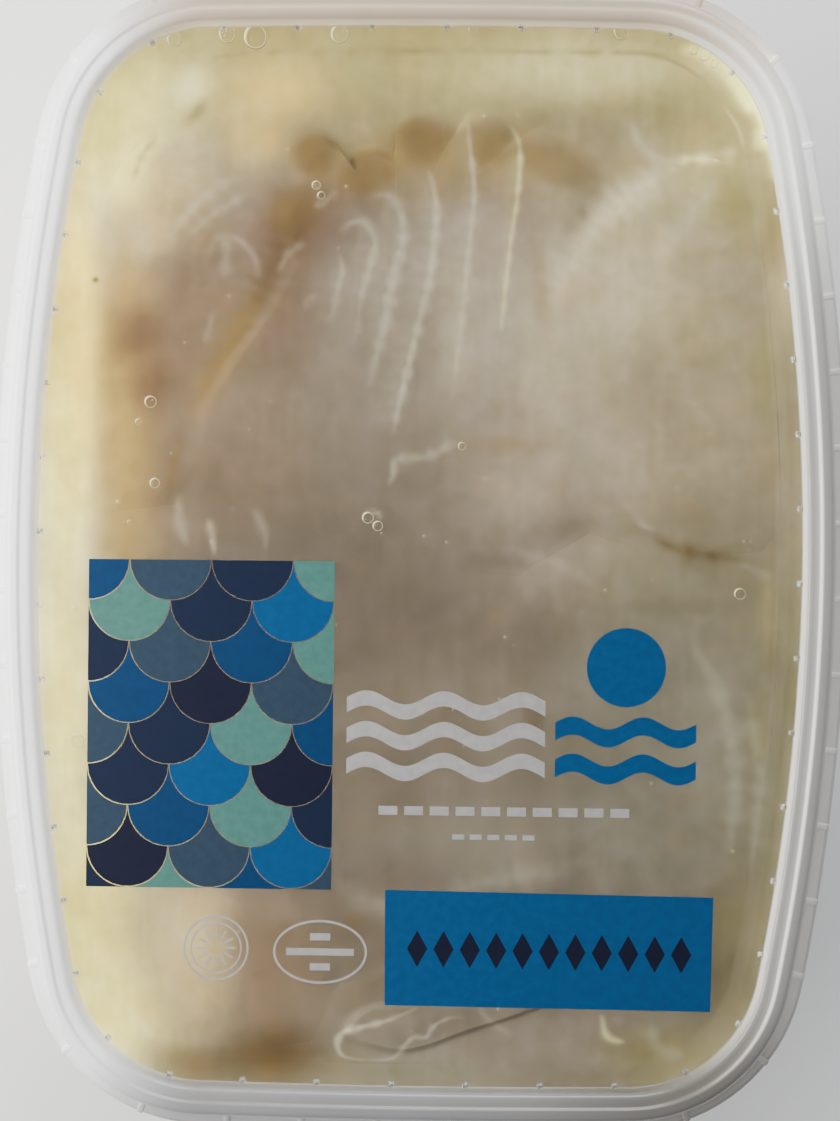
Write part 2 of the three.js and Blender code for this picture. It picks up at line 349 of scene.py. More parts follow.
def wire(tree, node, inputs):
    """Sets each named or numbered input to a value, or links it to another socket."""
    for key, value in inputs.items():
        socket = node.inputs[key]
        if isinstance(value, bpy.types.NodeSocket):
            tree.links.new(value, socket)
        else:
            socket.default_value = value


def add(tree, kind, inputs=None, **settings):
    """Adds a shader node with some settings, and wires its inputs."""
    node = tree.nodes.new("ShaderNode" + kind)
    for key, value in settings.items():
        setattr(node, key, value)
    wire(tree, node, inputs or {})
    return node


def new_material(name):
    """A material with a Principled shader; returns it with its tree, shader and object place."""
    material = bpy.data.materials.new(name)
    material.use_nodes = True
    tree = material.node_tree
    shader = tree.nodes["Principled BSDF"]
    where = add(tree, "TexCoord").outputs["Object"]
    return material, tree, shader, where


def tinted(tree, colour, shade):
    """One colour multiplied by another."""
    inputs = {"Factor": 1.0, COLOUR_A: colour, COLOUR_B: shade}
    return add(tree, "Mix", inputs, data_type="RGBA", blend_type="MULTIPLY").outputs[MIXED]


def tones_of_mesh(tree):
    """The colours that keep_tones put on the mesh."""
    node = add(tree, "Attribute", attribute_name="tone", attribute_type="GEOMETRY")
    return node.outputs["Color"]


def bump(tree, shader, height, depth):
    """Raises the surface by up to depth metres where height is 1."""
    node = add(tree, "Bump", {"Height": height, "Distance": depth, "Strength": 1.0})
    wire(tree, shader, {"Normal": node.outputs[0]})


# %% [markdown]
# ## One node group for all uneven colour
# Nothing real has the same colour everywhere: flesh, ink, plastic and even the floor are a
# little mottled. All share one node group. Smooth noise in object space is spread between
# a start and a stop, and mixes two colours. The bare noise comes out too, for bumps.

# %% Mottle group
def named_sockets(group, way, kinds):
    """Gives a node group its named inputs or outputs."""
    for name, kind in kinds.items():
        group.interface.new_socket(name, in_out=way, socket_type="NodeSocket" + kind)


def make_mottle():
    """Builds the group: share = (noise - start) / (stop - start), kept within 0 and 1."""
    group = bpy.data.node_groups.new("mottle", "ShaderNodeTree")
    named_sockets(group, "INPUT", {
        "Place": "Vector", "Stretch": "Vector", "Scale": "Float", "Detail": "Float",
        "Roughness": "Float", "Start": "Float", "Stop": "Float", "Low": "Color", "High": "Color",
    })
    named_sockets(group, "OUTPUT", {"Color": "Color", "Noise": "Float"})
    given = group.nodes.new("NodeGroupInput").outputs
    at = add(group, "Mapping", {"Vector": given["Place"], "Scale": given["Stretch"]}).outputs[0]
    lumps = {name: given[name] for name in ("Scale", "Detail", "Roughness")}
    height = add(group, "TexNoise", {"Vector": at, **lumps}).outputs["Fac"]
    span = {"Value": height, "From Min": given["Start"], "From Max": given["Stop"]}
    share = add(group, "MapRange", span).outputs["Result"]
    colours = {"Factor": share, COLOUR_A: given["Low"], COLOUR_B: given["High"]}
    colour = add(group, "Mix", colours, data_type="RGBA").outputs[MIXED]
    wire(group, group.nodes.new("NodeGroupOutput"), {"Color": colour, "Noise": height})
    return group


mottle = make_mottle()


def mottled(tree, where, scale, low=(0.0, (0.0, 0.0, 0.0)), high=(1.0, (1.0, 1.0, 1.0)),
            detail=3.0, rough=0.55, stretch=(1.0, 1.0, 1.0)):
    """The group's outputs, for lumps about 1/scale metres wide, from (start, colour) to
    (stop, colour)."""
    return add(tree, "Group", {
        "Place": where, "Stretch": stretch, "Scale": scale, "Detail": detail,
        "Roughness": rough, "Start": low[0], "Stop": high[0], "Low": (*low[1], 1.0),
        "High": (*high[1], 1.0),
    }, node_tree=mottle).outputs


print("mottle group:", len(mottle.nodes), "nodes")

# %% [markdown]
# ## Floor finish
# The floor is matt and pale, with a trace of mottling so that it isn't a flat colour.

# %% Floor material
floor_paint, tree, shader, where = new_material("floor_paint")
sheet = mottled(tree, where, 14.0, (0.3, (0.90, 0.90, 0.89)), (0.7, (0.94, 0.94, 0.93)))
wire(tree, shader, {"Base Color": sheet["Color"], "Roughness": 0.9})
floor.data.materials.append(floor_paint)
print("floor finish:", floor_paint.name)

# %% [markdown]
# ## Clear and milky plastic
# The tub and lid are thin polypropylene. Flat thin parts look clear, while the rim, where
# walls run side by side, looks milky. Light has to reach the food, so shadow rays pass
# straight through: a Light Path node swaps the plastic for a transparent shader for them.

# %% Plastic materials
PLASTIC_IOR = 1.49
FLOW_SHADE = 0.94


def let_shadows_through(material, tree, shader, tint):
    """Mixes in a transparent shader of the given tint for shadow rays only."""
    ray = add(tree, "LightPath").outputs["Is Shadow Ray"]
    open_way = add(tree, "BsdfTransparent", {"Color": (*tint, 1.0)}).outputs[0]
    both = add(tree, "MixShader", {0: ray, 1: shader.outputs[0], 2: open_way}).outputs[0]
    wire(tree, tree.nodes["Material Output"], {"Surface": both})


def plastic(name, colour, clear, roughness, shadow_tint, wave=0.00004, gloss=0.5):
    """Polypropylene: a clear share, the rest milk, with faint moulding waves.

    Its colour is mottled along the flow. Without a colour it takes the tones of the mesh,
    which on the rim are painted light."""
    material, tree, shader, where = new_material(name)
    whole = colour or (1.0, 1.0, 1.0)
    thin = tuple(FLOW_SHADE * c for c in whole)
    body = mottled(tree, where, 60.0, (0.35, thin), (0.65, whole), stretch=(1.0, 0.4, 1.0))["Color"]
    if colour is None:
        body = tinted(tree, tones_of_mesh(tree), body)
    wire(tree, shader, {
        "Base Color": body, "Transmission Weight": clear, "Roughness": roughness,
        "IOR": PLASTIC_IOR, "Specular IOR Level": gloss,
    })
    bump(tree, shader, mottled(tree, where, 180.0)["Noise"], wave)
    let_shadows_through(material, tree, shader, shadow_tint)
    return material


panel_plastic = plastic("panel_plastic", (0.97, 0.98, 0.98), clear=0.99, roughness=0.03,
                        shadow_tint=(0.97, 0.97, 0.96), wave=0.00001, gloss=0.25)
# The rim's plastic shows the painted light kept on its mesh.
rim_plastic = plastic("rim_plastic", None, clear=0.15, roughness=0.2,
                      shadow_tint=(0.96, 0.96, 0.96))
wall_plastic = plastic("wall_plastic", (0.95, 0.96, 0.95), clear=0.9, roughness=0.12,
                       shadow_tint=(0.98, 0.98, 0.97))

print("plastics:", panel_plastic.name, rim_plastic.name, wall_plastic.name)

# %% [markdown]
# ### Tones of the rim
# Milky plastic carries daylight along inside it, and here that light is painted into the
# rim's tones: white on its left side, where the window lamp falls, grey on the other three,
# and painted highlights on the two edges of its crest, darker on the near side. A painted
# glow lies in the far right corner and painted shade at the right end of the near side.
# The rim keeps these tones on its mesh: one set each for the crest's body, its edges and
# the flange outside it.

# %% Rim tones
# Painted light by side: white on the left, where the window lamp falls, grey elsewhere.
RIM_PAINTED_LIGHT = dict(
    left=(1.0, 1.0, 1.0), right=(0.37, 0.36, 0.335), far=(0.465, 0.375, 0.277),
    near=(0.300, 0.296, 0.295),
)
# Painted highlights along the crest's edges, and painted shade there on the near side.
EDGE_PAINTED_LIGHT = dict(
    left=(1.0, 1.0, 1.0), right=(1.0, 0.97, 0.90), far=(0.95, 0.82, 0.62),
    near=(0.24, 0.23, 0.215),
)
# Painted light on the flange, by side as on the crest.
FLANGE_PAINTED_LIGHT = dict(
    left=(1.0, 1.0, 1.0), right=(0.50, 0.485, 0.46), far=(0.43, 0.345, 0.25),
    near=(0.37, 0.365, 0.365),
)
# A painted glow in the far right corner and painted shade at the right end of the near side.
RIM_PAINTED_GLOW_AND_SHADE = [
    ((2.35, 2.45, 2.5), (60, 72), (16, 24)), ((0.58, 0.56, 0.50), (44, -84), (24, 14)),
]
INNER_EDGE = 0.4
CREST_EDGE, CREST_EDGE_WIDTH = 2.2, 0.3
CREST_FOOT = HEIGHT - 3.0
FLANGE_START, FLANGE_BLEND = 4.0, 0.5
SKIRT_TONE = (0.72, 0.71, 0.69)
SKIRT_TOP, SKIRT_BLEND = HEIGHT - 5.8, 0.8


def patch_share(x, y, middle, reach):
    """From 0 to 1: a round patch with a soft edge."""
    return np.exp(-((x - middle[0]) / reach[0]) ** 2 - ((y - middle[1]) / reach[1]) ** 2)


def rim_tone_and_painted_light(x, y, z):
    """The milky plastic's colour with its painted light: body, then edges, then patches, then
    the skirt.
    """
    offset, way = offset_at(x, y)
    flange = np.clip((offset - FLANGE_START) / FLANGE_BLEND, 0, 1)[:, None]
    whole = by_side(way, RIM_PAINTED_LIGHT)
    whole = whole + flange * (by_side(way, FLANGE_PAINTED_LIGHT) - whole)
    edge = by_side(way, EDGE_PAINTED_LIGHT)
    inner = np.clip((INNER_EDGE - offset) / INNER_EDGE, 0, 1)
    outer = np.exp(-((offset - CREST_EDGE) / CREST_EDGE_WIDTH) ** 2)
    share = np.maximum(inner, outer) * (z > CREST_FOOT)
    tone = whole + share[:, None] * (edge - whole)
    for gain, middle, reach in RIM_PAINTED_GLOW_AND_SHADE:
        share = patch_share(x, y, middle, reach)[:, None]
        tone = tone * (1 + share * (np.array(gain) - 1))
    skirt = np.clip((SKIRT_TOP - z) / SKIRT_BLEND, 0, 1)[:, None]
    return np.minimum(tone + skirt * (np.array(SKIRT_TONE) - tone), 1.0)


# %% [markdown]
# ## The tub
# The wall leans out, steps out over a small ledge near its top, and ends in a bead which
# the lid is pushed over. Outside, a flange turns down into a skirt. The clear wall and the
# milky flange are two pieces, with the wall's top buried in the bead.

# %% Tub wall
FLOOR_THICK = 1.2
WALL = 1.1
LEDGE = HEIGHT - 10.0
TUB_FLANGE = HEIGHT - 8.1
WALL_LOW = (-5.5, 5.0)
WALL_HIGH = (-2.0, LEDGE - 1.2)
TUB_MIDDLE = -14.0


def inner_wall(z):
    """Offset of the leaning inner wall at a height: a straight line between two points."""
    slope = (WALL_HIGH[0] - WALL_LOW[0]) / (WALL_HIGH[1] - WALL_LOW[1])
    return WALL_LOW[0] + slope * (z - WALL_LOW[1])


tub_profile = rounded([
    (TUB_MIDDLE, 0.0), (-8.0, 0.0), (-6.2, 0.6), (-5.3, 2.2),
    (WALL_LOW[0] + WALL, WALL_LOW[1]), (WALL_HIGH[0] + WALL, WALL_HIGH[1]),
    (1.6, LEDGE - 0.4), (2.2, LEDGE + 0.2), (2.2, HEIGHT - 4.0),
    (1.4, HEIGHT - 4.0), (1.2, LEDGE + 1.0), (0.7, LEDGE + 0.3), (-1.6, LEDGE - 0.4),
    WALL_HIGH, WALL_LOW, (-6.3, FLOOR_THICK + 1.4), (-8.4, FLOOR_THICK),
    (TUB_MIDDLE, FLOOR_THICK),
], 0.8)
place(surface("tub_wall", loft(tub_profile)), ["tub"], "clear_tub", wall_plastic)

# %% Tub rim
SKIRT_FOOT = TUB_FLANGE - 5.4
rim_profile = rounded([
    (2.3, TUB_FLANGE - WALL), (6.1, TUB_FLANGE - WALL), (6.3, SKIRT_FOOT), (7.2, SKIRT_FOOT),
    (7.1, TUB_FLANGE - 0.5), (6.6, TUB_FLANGE), (3.3, TUB_FLANGE), (3.15, HEIGHT - 1.8),
    (2.8, HEIGHT - 1.35), (1.8, HEIGHT - 1.35), (1.4, HEIGHT - 1.8), (1.35, HEIGHT - 4.6),
    (1.9, HEIGHT - 4.8), (2.3, HEIGHT - 7.0), (2.3, TUB_FLANGE - WALL),
], 0.3)
# The tub's rim keeps painted light as its tones.
tub_rim = keep_tones(surface("tub_rim", loft(rim_profile[:-1]), join=True), rim_tone_and_painted_light)
place(tub_rim, ["tub"], "clear_tub", rim_plastic)

# %% [markdown]
# ## The lid
# A flat panel lies about 1 mm below a band that runs round it, and the band meets the rim. The
# rim is a hollow arch over the tub's bead, with a step out to the lid's flange. Its ribs
# and its small square lugs stand at an even pitch.

# %% Lid panel
PANEL_TOP = HEIGHT - 3.9
BAND_TOP = HEIGHT - 3.0
PANEL_THICK = 1.0
PANEL_UNDER = PANEL_TOP - PANEL_THICK
BAND_UNDER = BAND_TOP - PANEL_THICK
LID_FLANGE = HEIGHT - 5.1
LID_MIDDLE = -12.0
STEP_FOOT = -4.4
STEP_HEAD = -1.8

panel_profile = rounded([
    (LID_MIDDLE, PANEL_UNDER), (STEP_FOOT, PANEL_UNDER), (STEP_HEAD, BAND_UNDER),
    (0.35, BAND_UNDER), (0.4, BAND_TOP - 0.4), (0.35, BAND_TOP), (STEP_HEAD, BAND_TOP),
    (STEP_FOOT, PANEL_TOP), (LID_MIDDLE, PANEL_TOP),
], 0.4)
lid_panel = surface("lid_panel", loft(panel_profile))
place(lid_panel, ["lid"], "clear_lid", panel_plastic)

# %% Lid rim
lid_rim_profile = rounded([
    (-0.2, BAND_TOP - 0.5), (-0.3, BAND_TOP - 1.1), (0.2, BAND_TOP - 2.0),
    (0.95, BAND_TOP - 1.7), (1.05, HEIGHT - 1.4), (1.4, HEIGHT - 1.0), (3.1, HEIGHT - 1.0),
    (3.5, HEIGHT - 1.4), (3.9, LID_FLANGE - 0.2), (4.2, LID_FLANGE - 0.7),
    (6.4, LID_FLANGE - 0.9), (6.6, LID_FLANGE - 2.7), (7.5, LID_FLANGE - 2.7),
    (7.4, LID_FLANGE - 0.5), (6.9, LID_FLANGE), (5.3, LID_FLANGE + 0.2),
    (4.9, LID_FLANGE + 0.7), (4.6, HEIGHT - 1.0), (4.1, HEIGHT - 0.3), (3.5, HEIGHT - 0.1),
    (2.5, HEIGHT), (2.1, HEIGHT - 0.5), (0.9, HEIGHT - 0.55), (0.4, HEIGHT - 0.8),
    (0.1, HEIGHT - 1.3), (-0.1, BAND_TOP + 0.4), (-0.2, BAND_TOP - 0.5),
], 0.25)
# The lid's rim keeps painted light as its tones.
lid_rim = keep_tones(surface("lid_rim", loft(lid_rim_profile[:-1]), join=True), rim_tone_and_painted_light)
place(lid_rim, ["lid"], "clear_lid", rim_plastic)

# %% [markdown]
# ### Ribs and lugs
# The lid's flange carries short ribs, and lugs stand on the inner side of the crest. Both
# are soft-cornered blocks. A block is a ball pushed out towards a box: each coordinate of
# a unit direction is raised to a small power, which flattens the faces and keeps the
# edges round. One mesh holds all the blocks of a kind.

# %% Soft blocks
RIB_PITCH = 11.9
BLOCK_RINGS = 9
BLOCK_SIDES = 16
BLOCK_POWER = 0.35


def signed_power(value, power):
    """A power of each value's size that keeps its sign."""
    return np.sign(value) * np.abs(value) ** power


def ball(rings, sides, power=1.0, cap=0.0):
    """Points of a unit ball as rings from pole to pole.

    A point is cos(up) cos(turn), cos(up) sin(turn), sin(up), each raised to the power."""
    up = np.linspace(cap - np.pi / 2, np.pi / 2 - cap, rings)[:, None]
    turn = 2 * np.pi * np.arange(sides) / sides
    flat = signed_power(np.cos(up), power)
    return np.stack([
        flat * signed_power(np.cos(turn), power),
        flat * signed_power(np.sin(turn), power),
        signed_power(np.sin(up), power) * np.ones(sides),
    ], axis=-1)


def soft_block(low, high):
    """Points of a box with round edges between two corners."""
    low, high = np.asarray(low), np.asarray(high)
    return (low + high) / 2 + ball(BLOCK_RINGS, BLOCK_SIDES, BLOCK_POWER) * (high - low) / 2


def round_the_rim(phase, offsets, heights, width):
    """Blocks at an even pitch along the outline, each turned to face outward."""
    count = round(girth / RIB_PITCH)
    at, out = outline((np.arange(count) + phase) / count)
    along = np.stack([-out[:, 1], out[:, 0]], axis=-1)
    block = soft_block((offsets[0], -width / 2, heights[0]), (offsets[1], width / 2, heights[1]))
    grids = []
    for middle, outward, sideways in zip(at, out, along):
        flat = middle + block[..., 0:1] * outward + block[..., 1:2] * sideways
        grids.append(np.concatenate([flat, block[..., 2:3]], axis=-1))
    return grids


# %% Ribs and lugs
rib_blocks = round_the_rim(phase=0.5, offsets=(4.35, 7.15),
                           heights=(LID_FLANGE - 0.5, LID_FLANGE + 1.2), width=1.1)
# The ribs keep the rim's painted light as their tones.
ribs = keep_tones(surface("lid_ribs", *rib_blocks), rim_tone_and_painted_light)
place(ribs, ["lid"], "clear_lid", rim_plastic)
lug_blocks = round_the_rim(phase=0.7, offsets=(-1.1, 0.5),
                           heights=(BAND_TOP - 0.5, BAND_TOP + 0.7), width=1.0)
place(surface("lid_lugs", *lug_blocks), ["lid"], "clear_lid", panel_plastic)

# %% [markdown]
# ## The print on the lid
# Ink lies on the panel as films a few hundredths of a millimetre thick, one mesh for each
# colour. The pattern is a field of overlapping fish scales beside wavy stripes, a sun over
# waves, rows of dashes, two plain rings and a label with lozenges. All shapes are drawn
# as closed lines by simple formulas. There are no words.

# %% Films of ink
INK_SINK = 0.02
INK_RISE = 0.03


def films(name, shapes, level=0):
    """One mesh of thin flat films, each from a closed line of points that runs anticlockwise."""
    heights = (PANEL_TOP - INK_SINK, PANEL_TOP + INK_RISE * (level + 1))
    verts, faces, start = [], [], 0
    for shape in shapes:
        n = len(shape)
        verts += [np.column_stack([shape, np.full(n, z)]) for z in heights]
        below = start + np.arange(n)
        following = np.roll(below, -1)
        faces += [below[::-1].tolist(), (below + n).tolist()]
        faces += np.stack([below, following, following + n, below + n], axis=-1).tolist()
        start += 2 * n
    return mesh_piece(name, np.vstack(verts), faces, smooth=False)


# %% Flat shapes
def arc(middle, radius, start, stop, count=14):
    """Points on a circle's arc between two angles in degrees."""
    angle = np.radians(np.linspace(start, stop, count))
    return np.asarray(middle) + np.stack([np.cos(angle), np.sin(angle)], axis=-1) * radius


SCALE_SHRINK = 0.985
SAME_POINT = 1e-4


def scale_shape(middle, radius, low, high):
    """A fish scale: half a circle below, two hollow quarters above, cut to a box.

    Such scales fill the plane when each row stands one radius up and one across."""
    x, y = middle
    line = np.vstack([
        arc((x, y), radius, 180, 360),
        arc((x + radius, y + radius), radius, -90, -180)[1:],
        arc((x - radius, y + radius), radius, 0, -90)[1:-1],
    ])
    line = (line - [x, y + radius / 3]) * SCALE_SHRINK + [x, y + radius / 3]
    line = np.clip(line, low, high)
    apart = np.linalg.norm(line - np.roll(line, 1, axis=0), axis=1)
    return line[apart > SAME_POINT]


def area(line):
    """The area inside a closed line of points, by the shoelace formula."""
    x, y = line[:, 0], line[:, 1]
    return 0.5 * abs(np.dot(x, np.roll(y, -1)) - np.dot(y, np.roll(x, -1)))


def wave_band(left, right, middle, tall, swing, length, count=48):
    """A wavy stripe: a sine line with a constant height."""
    x = np.linspace(left, right, count)
    y = middle + swing * np.sin(2 * np.pi * (x - left) / length)
    return np.vstack([np.stack([x, y - tall / 2], -1), np.stack([x, y + tall / 2], -1)[::-1]])


def bar(left, right, low, high):
    """A plain rectangle."""
    return np.array([(left, low), (right, low), (right, high), (left, high)])


def dashes(left, right, pitch, length, low, high):
    """A row of equal bars at an even pitch."""
    return [bar(x, x + length, low, high) for x in np.arange(left, right, pitch)]


def hoop(middle, reach, thick, pieces=24):
    """A ring or oval ring as a run of short curved bars."""
    shapes = []
    reach = np.asarray(reach)
    for k in range(pieces):
        angle = 2 * np.pi * (k + np.linspace(0, 1, 4)) / pieces
        way = np.stack([np.cos(angle), np.sin(angle)], axis=-1)
        inside, outside = middle + way * (reach - thick), middle + way * reach
        shapes.append(np.vstack([outside[::-1], inside]))
    return shapes


# %% Ink
INKS = {
    "teal": (0.050, 0.155, 0.130), "navy": (0.004, 0.010, 0.030), "night": (0.004, 0.006, 0.020),
    "blue": (0.0, 0.028, 0.090), "slate": (0.018, 0.036, 0.060), "pale": (0.33, 0.32, 0.31),
    "sky": (0.0, 0.055, 0.160),
}
INK_SHADE = 0.86
INK_SHADOW = (0.9, 0.9, 0.9)


def ink(name, colour):
    """Printing ink: nearly even, a little glossy, with fine mottling."""
    material, tree, shader, where = new_material(name)
    thin = tuple(INK_SHADE * c for c in colour)
    film = mottled(tree, where, 700.0, (0.35, thin), (0.65, colour), detail=4.0)
    wire(tree, shader, {"Base Color": film["Color"], "Roughness": 0.5, "Specular IOR Level": 0.2})
    bump(tree, shader, film["Noise"], 0.000004)
    let_shadows_through(material, tree, shader, INK_SHADOW)
    return material


ink_of = {name: ink("ink_" + name, colour) for name, colour in INKS.items()}
print("inks:", sorted(ink_of))

# %% Scales
BLOCK_LEFT, BLOCK_TOP = -52.7, -0.8
SCALE_RADIUS = 6.55
SCALE_COLUMNS = 3
SCALE_ROWS = 8
block_low = (BLOCK_LEFT, BLOCK_TOP - SCALE_ROWS * SCALE_RADIUS)
block_high = (BLOCK_LEFT + SCALE_COLUMNS * 2 * SCALE_RADIUS, BLOCK_TOP)
ROW_COLOURS = (
    ("teal", "navy", "sky", "night"), ("slate", "blue", "teal", "navy"),
    ("blue", "night", "slate", "sky"), ("navy", "teal", "blue", "slate"),
)
scales = {name: [] for name in INKS}
for row in range(-1, SCALE_ROWS + 1):
    for column in range(-1, SCALE_COLUMNS + 1):
        across = (2 * column + 1 + row % 2) * SCALE_RADIUS
        middle = (BLOCK_LEFT + across, BLOCK_TOP - (row + 1) * SCALE_RADIUS)
        shape = scale_shape(middle, SCALE_RADIUS, block_low, block_high)
        if len(shape) > 2 and area(shape) > 1.0:
            choice = ROW_COLOURS[row % 4][(column + row // 4) % 4]
            scales[choice].append(shape)
print("scales of each ink:", {name: len(shapes) for name, shapes in scales.items()})

# %% Waves and dashes
WAVES_LEFT, WAVES_RIGHT = -11.2, 20.4
pale_shapes = [
    wave_band(WAVES_LEFT, WAVES_RIGHT, y, tall=2.4, swing=1.1, length=12.4)
    for y in (-23.6, -28.5, -33.4)
]
pale_shapes += dashes(-6.0, 31.0, pitch=4.1, length=3.0, low=-41.1, high=-39.7)
pale_shapes += dashes(5.8, 19.5, pitch=2.8, length=1.9, low=-44.9, high=-44.1)
print(len(pale_shapes), "pale waves and dashes")

# %% Rings
SEAL = np.array([-31.73, -62.77])
pale_shapes += hoop(SEAL, reach=5.2, thick=0.32) + hoop(SEAL, reach=4.1, thick=0.28)
RAY_PITCH, RAY_FROM, RAY_TO, HALF_RAY = 30, 1.5, 3.1, 0.16
for ray in range(0, 360, RAY_PITCH):
    way = np.array([np.cos(np.radians(ray)), np.sin(np.radians(ray))])
    side = np.array([-way[1], way[0]]) * HALF_RAY
    near, far = SEAL + way * RAY_FROM, SEAL + way * RAY_TO
    pale_shapes.append(np.array([near - side, far - side, far + side, near + side]))
OVAL = np.array([-15.1, -63.16])
pale_shapes += hoop(OVAL, reach=(7.5, 5.1), thick=0.36, pieces=36)
OVAL_BARS, HALF_BAR = ((1.6, 2.4), (5.4, 0.0), (1.6, -2.4)), 0.55
pale_shapes += [bar(OVAL[0] - w, OVAL[0] + w, OVAL[1] + y - HALF_BAR, OVAL[1] + y + HALF_BAR)
                for w, y in OVAL_BARS]
print(len(pale_shapes), "pale shapes with the two rings")

# %% Sun and label
SUN, SUN_RADIUS = (33.2, -17.2), 6.3
blue_shapes = [arc(SUN, SUN_RADIUS, 0, 352, 45)]
blue_shapes += [
    wave_band(22.0, 44.4, y, tall=2.9, swing=1.0, length=11.2) for y in (-27.5, -33.4)
]
LABEL = np.array([(-4.7, -71.5), (47.1, -71.8), (47.4, -53.6), (-4.8, -53.1)])
LOZENGES, LOZENGE_PITCH, LOZENGE_TILT = 11, 4.2, 0.010
FIRST_LOZENGE, HALF_WIDE, HALF_TALL = (0.4, -62.4), 1.6, 2.9
lozenges = []
for k in range(LOZENGES):
    x = FIRST_LOZENGE[0] + LOZENGE_PITCH * k
    y = FIRST_LOZENGE[1] - LOZENGE_TILT * LOZENGE_PITCH * k
    lozenges.append(np.array([
        (x - HALF_WIDE, y), (x, y - HALF_TALL), (x + HALF_WIDE, y), (x, y + HALF_TALL),
    ]))

# %% Print in place
for name, shapes in scales.items():
    extra = {"pale": pale_shapes, "sky": blue_shapes + [LABEL]}.get(name, [])
    if shapes or extra:
        place(films("print_" + name, shapes + extra), ["lid"], "clear_lid", ink_of[name])
place(films("label_lozenges", lozenges, 1), ["lid"], "clear_lid", ink_of["night"])

# %% [markdown]
# ## The fish
# Each slice is a rounded slab. Its edge is a smooth closed curve through a few corners,
# and every ring of its top is the edge drawn in towards the middle.

# %% Smooth closed curves
STEPS_A_CORNER = 40
SEED_TURN, WAVE_TURN = 1.7, 2.1
WOBBLE_PEAK = 1.83


def knot_gap(a, b):
    """The square root of the distance between matching points."""
    return np.sqrt(np.linalg.norm(b - a, axis=1))[:, None]


def smooth_loop(corners, count):
    """Points evenly spaced on a closed centripetal Catmull-Rom curve through the corners.

    Each stretch is a cubic whose end slopes come from the neighbouring corners, with the
    knots a square root of the distance apart."""
    p = np.asarray(corners, dtype=float)
    p0, p1, p2, p3 = np.roll(p, 1, 0), p, np.roll(p, -1, 0), np.roll(p, -2, 0)
    d0, d1, d2 = knot_gap(p0, p1), knot_gap(p1, p2), knot_gap(p2, p3)
    m1 = ((p1 - p0) / d0 - (p2 - p0) / (d0 + d1) + (p2 - p1) / d1) * d1
    m2 = ((p2 - p1) / d1 - (p3 - p1) / (d1 + d2) + (p3 - p2) / d2) * d1
    t = np.linspace(0, 1, STEPS_A_CORNER, endpoint=False)[None, :, None]
    a, b, c = 2 * p1 - 2 * p2 + m1 + m2, -3 * p1 + 3 * p2 - 2 * m1 - m2, m1
    fine = a[:, None] * t ** 3 + b[:, None] * t ** 2 + c[:, None] * t + p1[:, None]
    fine = fine.reshape(-1, 2)
    closed = np.vstack([fine, fine[:1]])
    travel = np.concatenate([[0.0], np.cumsum(np.linalg.norm(np.diff(closed, axis=0), axis=1))])
    goal = np.linspace(0, travel[-1], count, endpoint=False)
    return np.stack([np.interp(goal, travel, closed[:, k]) for k in (0, 1)], axis=-1)


def wobble(x, y, scale, seed):
    """Three turned sine waves of heights 1, 1/2 and 1/3, over their sum: from -1 to 1."""
    total = np.zeros_like(x)
    for k in (1, 2, 3):
        turn = seed * SEED_TURN + k * WAVE_TURN
        along = x * np.cos(turn) + y * np.sin(turn)
        total += np.sin(along * k / scale + seed * k) / k
    return total / WOBBLE_PEAK


# %% Outlines of the slices
SLICES = {
    "back_slice": dict(top=38.8, thick=3.8, sag=0.6, seed=1, corners=[
        (-54, 77), (0, 80), (52, 77), (57, 50), (0, 45), (-53, 50)]),
    "left_slice": dict(top=41.1, thick=5.2, sag=0.8, seed=2, corners=[
        (-54, 58), (-42, 69), (-22, 64), (-13, 46), (-28, 14), (-55, 4)]),
    "right_slice": dict(top=41.1, thick=5.6, sag=0.8, seed=3, corners=[
        (24, 54), (52, 66), (60, 40), (61, 3), (40, -4), (16, 18)]),
    "lower_left_slice": dict(top=41.0, thick=6.0, sag=0.9, seed=4, corners=[
        (-57, 10), (-30, 6), (-13, -30), (-14, -82), (-45, -80), (-57, -44)]),
    "lower_right_slice": dict(top=41.1, thick=5.4, sag=0.8, seed=5, corners=[
        (15, 0), (60, 3), (60, -38), (50, -72), (22, -66), (10, -34)]),
    "bottom_slice": dict(top=40.8, thick=4.6, sag=0.7, seed=6, corners=[
        (-20, -84), (-14, -68), (18, -64), (50, -68), (44, -84), (12, -85)]),
    "middle_slice": dict(top=41.3, thick=4.8, sag=0.8, seed=7, corners=[
        (-32, 0), (16, 0), (30, -36), (22, -66), (-12, -71), (-32, -42)]),
    "central_slice": dict(top=41.6, thick=5.4, sag=0.8, seed=8, dip=(56, 73, 1.2), grid=(105, 900),
                          corners=[
        (-39, 18), (-34, 28), (-27, 38), (-23, 48), (-24.5, 55), (-22.5, 59.5), (-21.5, 65.5),
        (-17.5, 68.4), (-13.7, 66), (-12.7, 62.8), (-11.4, 65.3), (-8.3, 66.6), (-4.9, 65.6),
        (-4.2, 69.6), (-0.4, 72.6), (4.2, 71.3), (5.8, 68.9), (7.2, 71.6), (10.8, 73), (14.6, 71.2),
        (16.4, 68.4), (20, 69.6), (25.2, 67.2), (28.5, 61), (27, 46), (29, 25), (28, 4),
        (0, -13), (-30, -9), (-40, 3)]),
    "folded_slice": dict(top=41.6, thick=3.0, sag=0.8, seed=9, corners=[
        (-12.5, -77), (-10, -73.2), (-2, -71), (12, -68), (22, -71), (10, -76), (-3, -80)]),
}
SLICE_GRID = (110, 440)
print(len(SLICES), "slices with tops from", min(spec["top"] for spec in SLICES.values()), "mm")

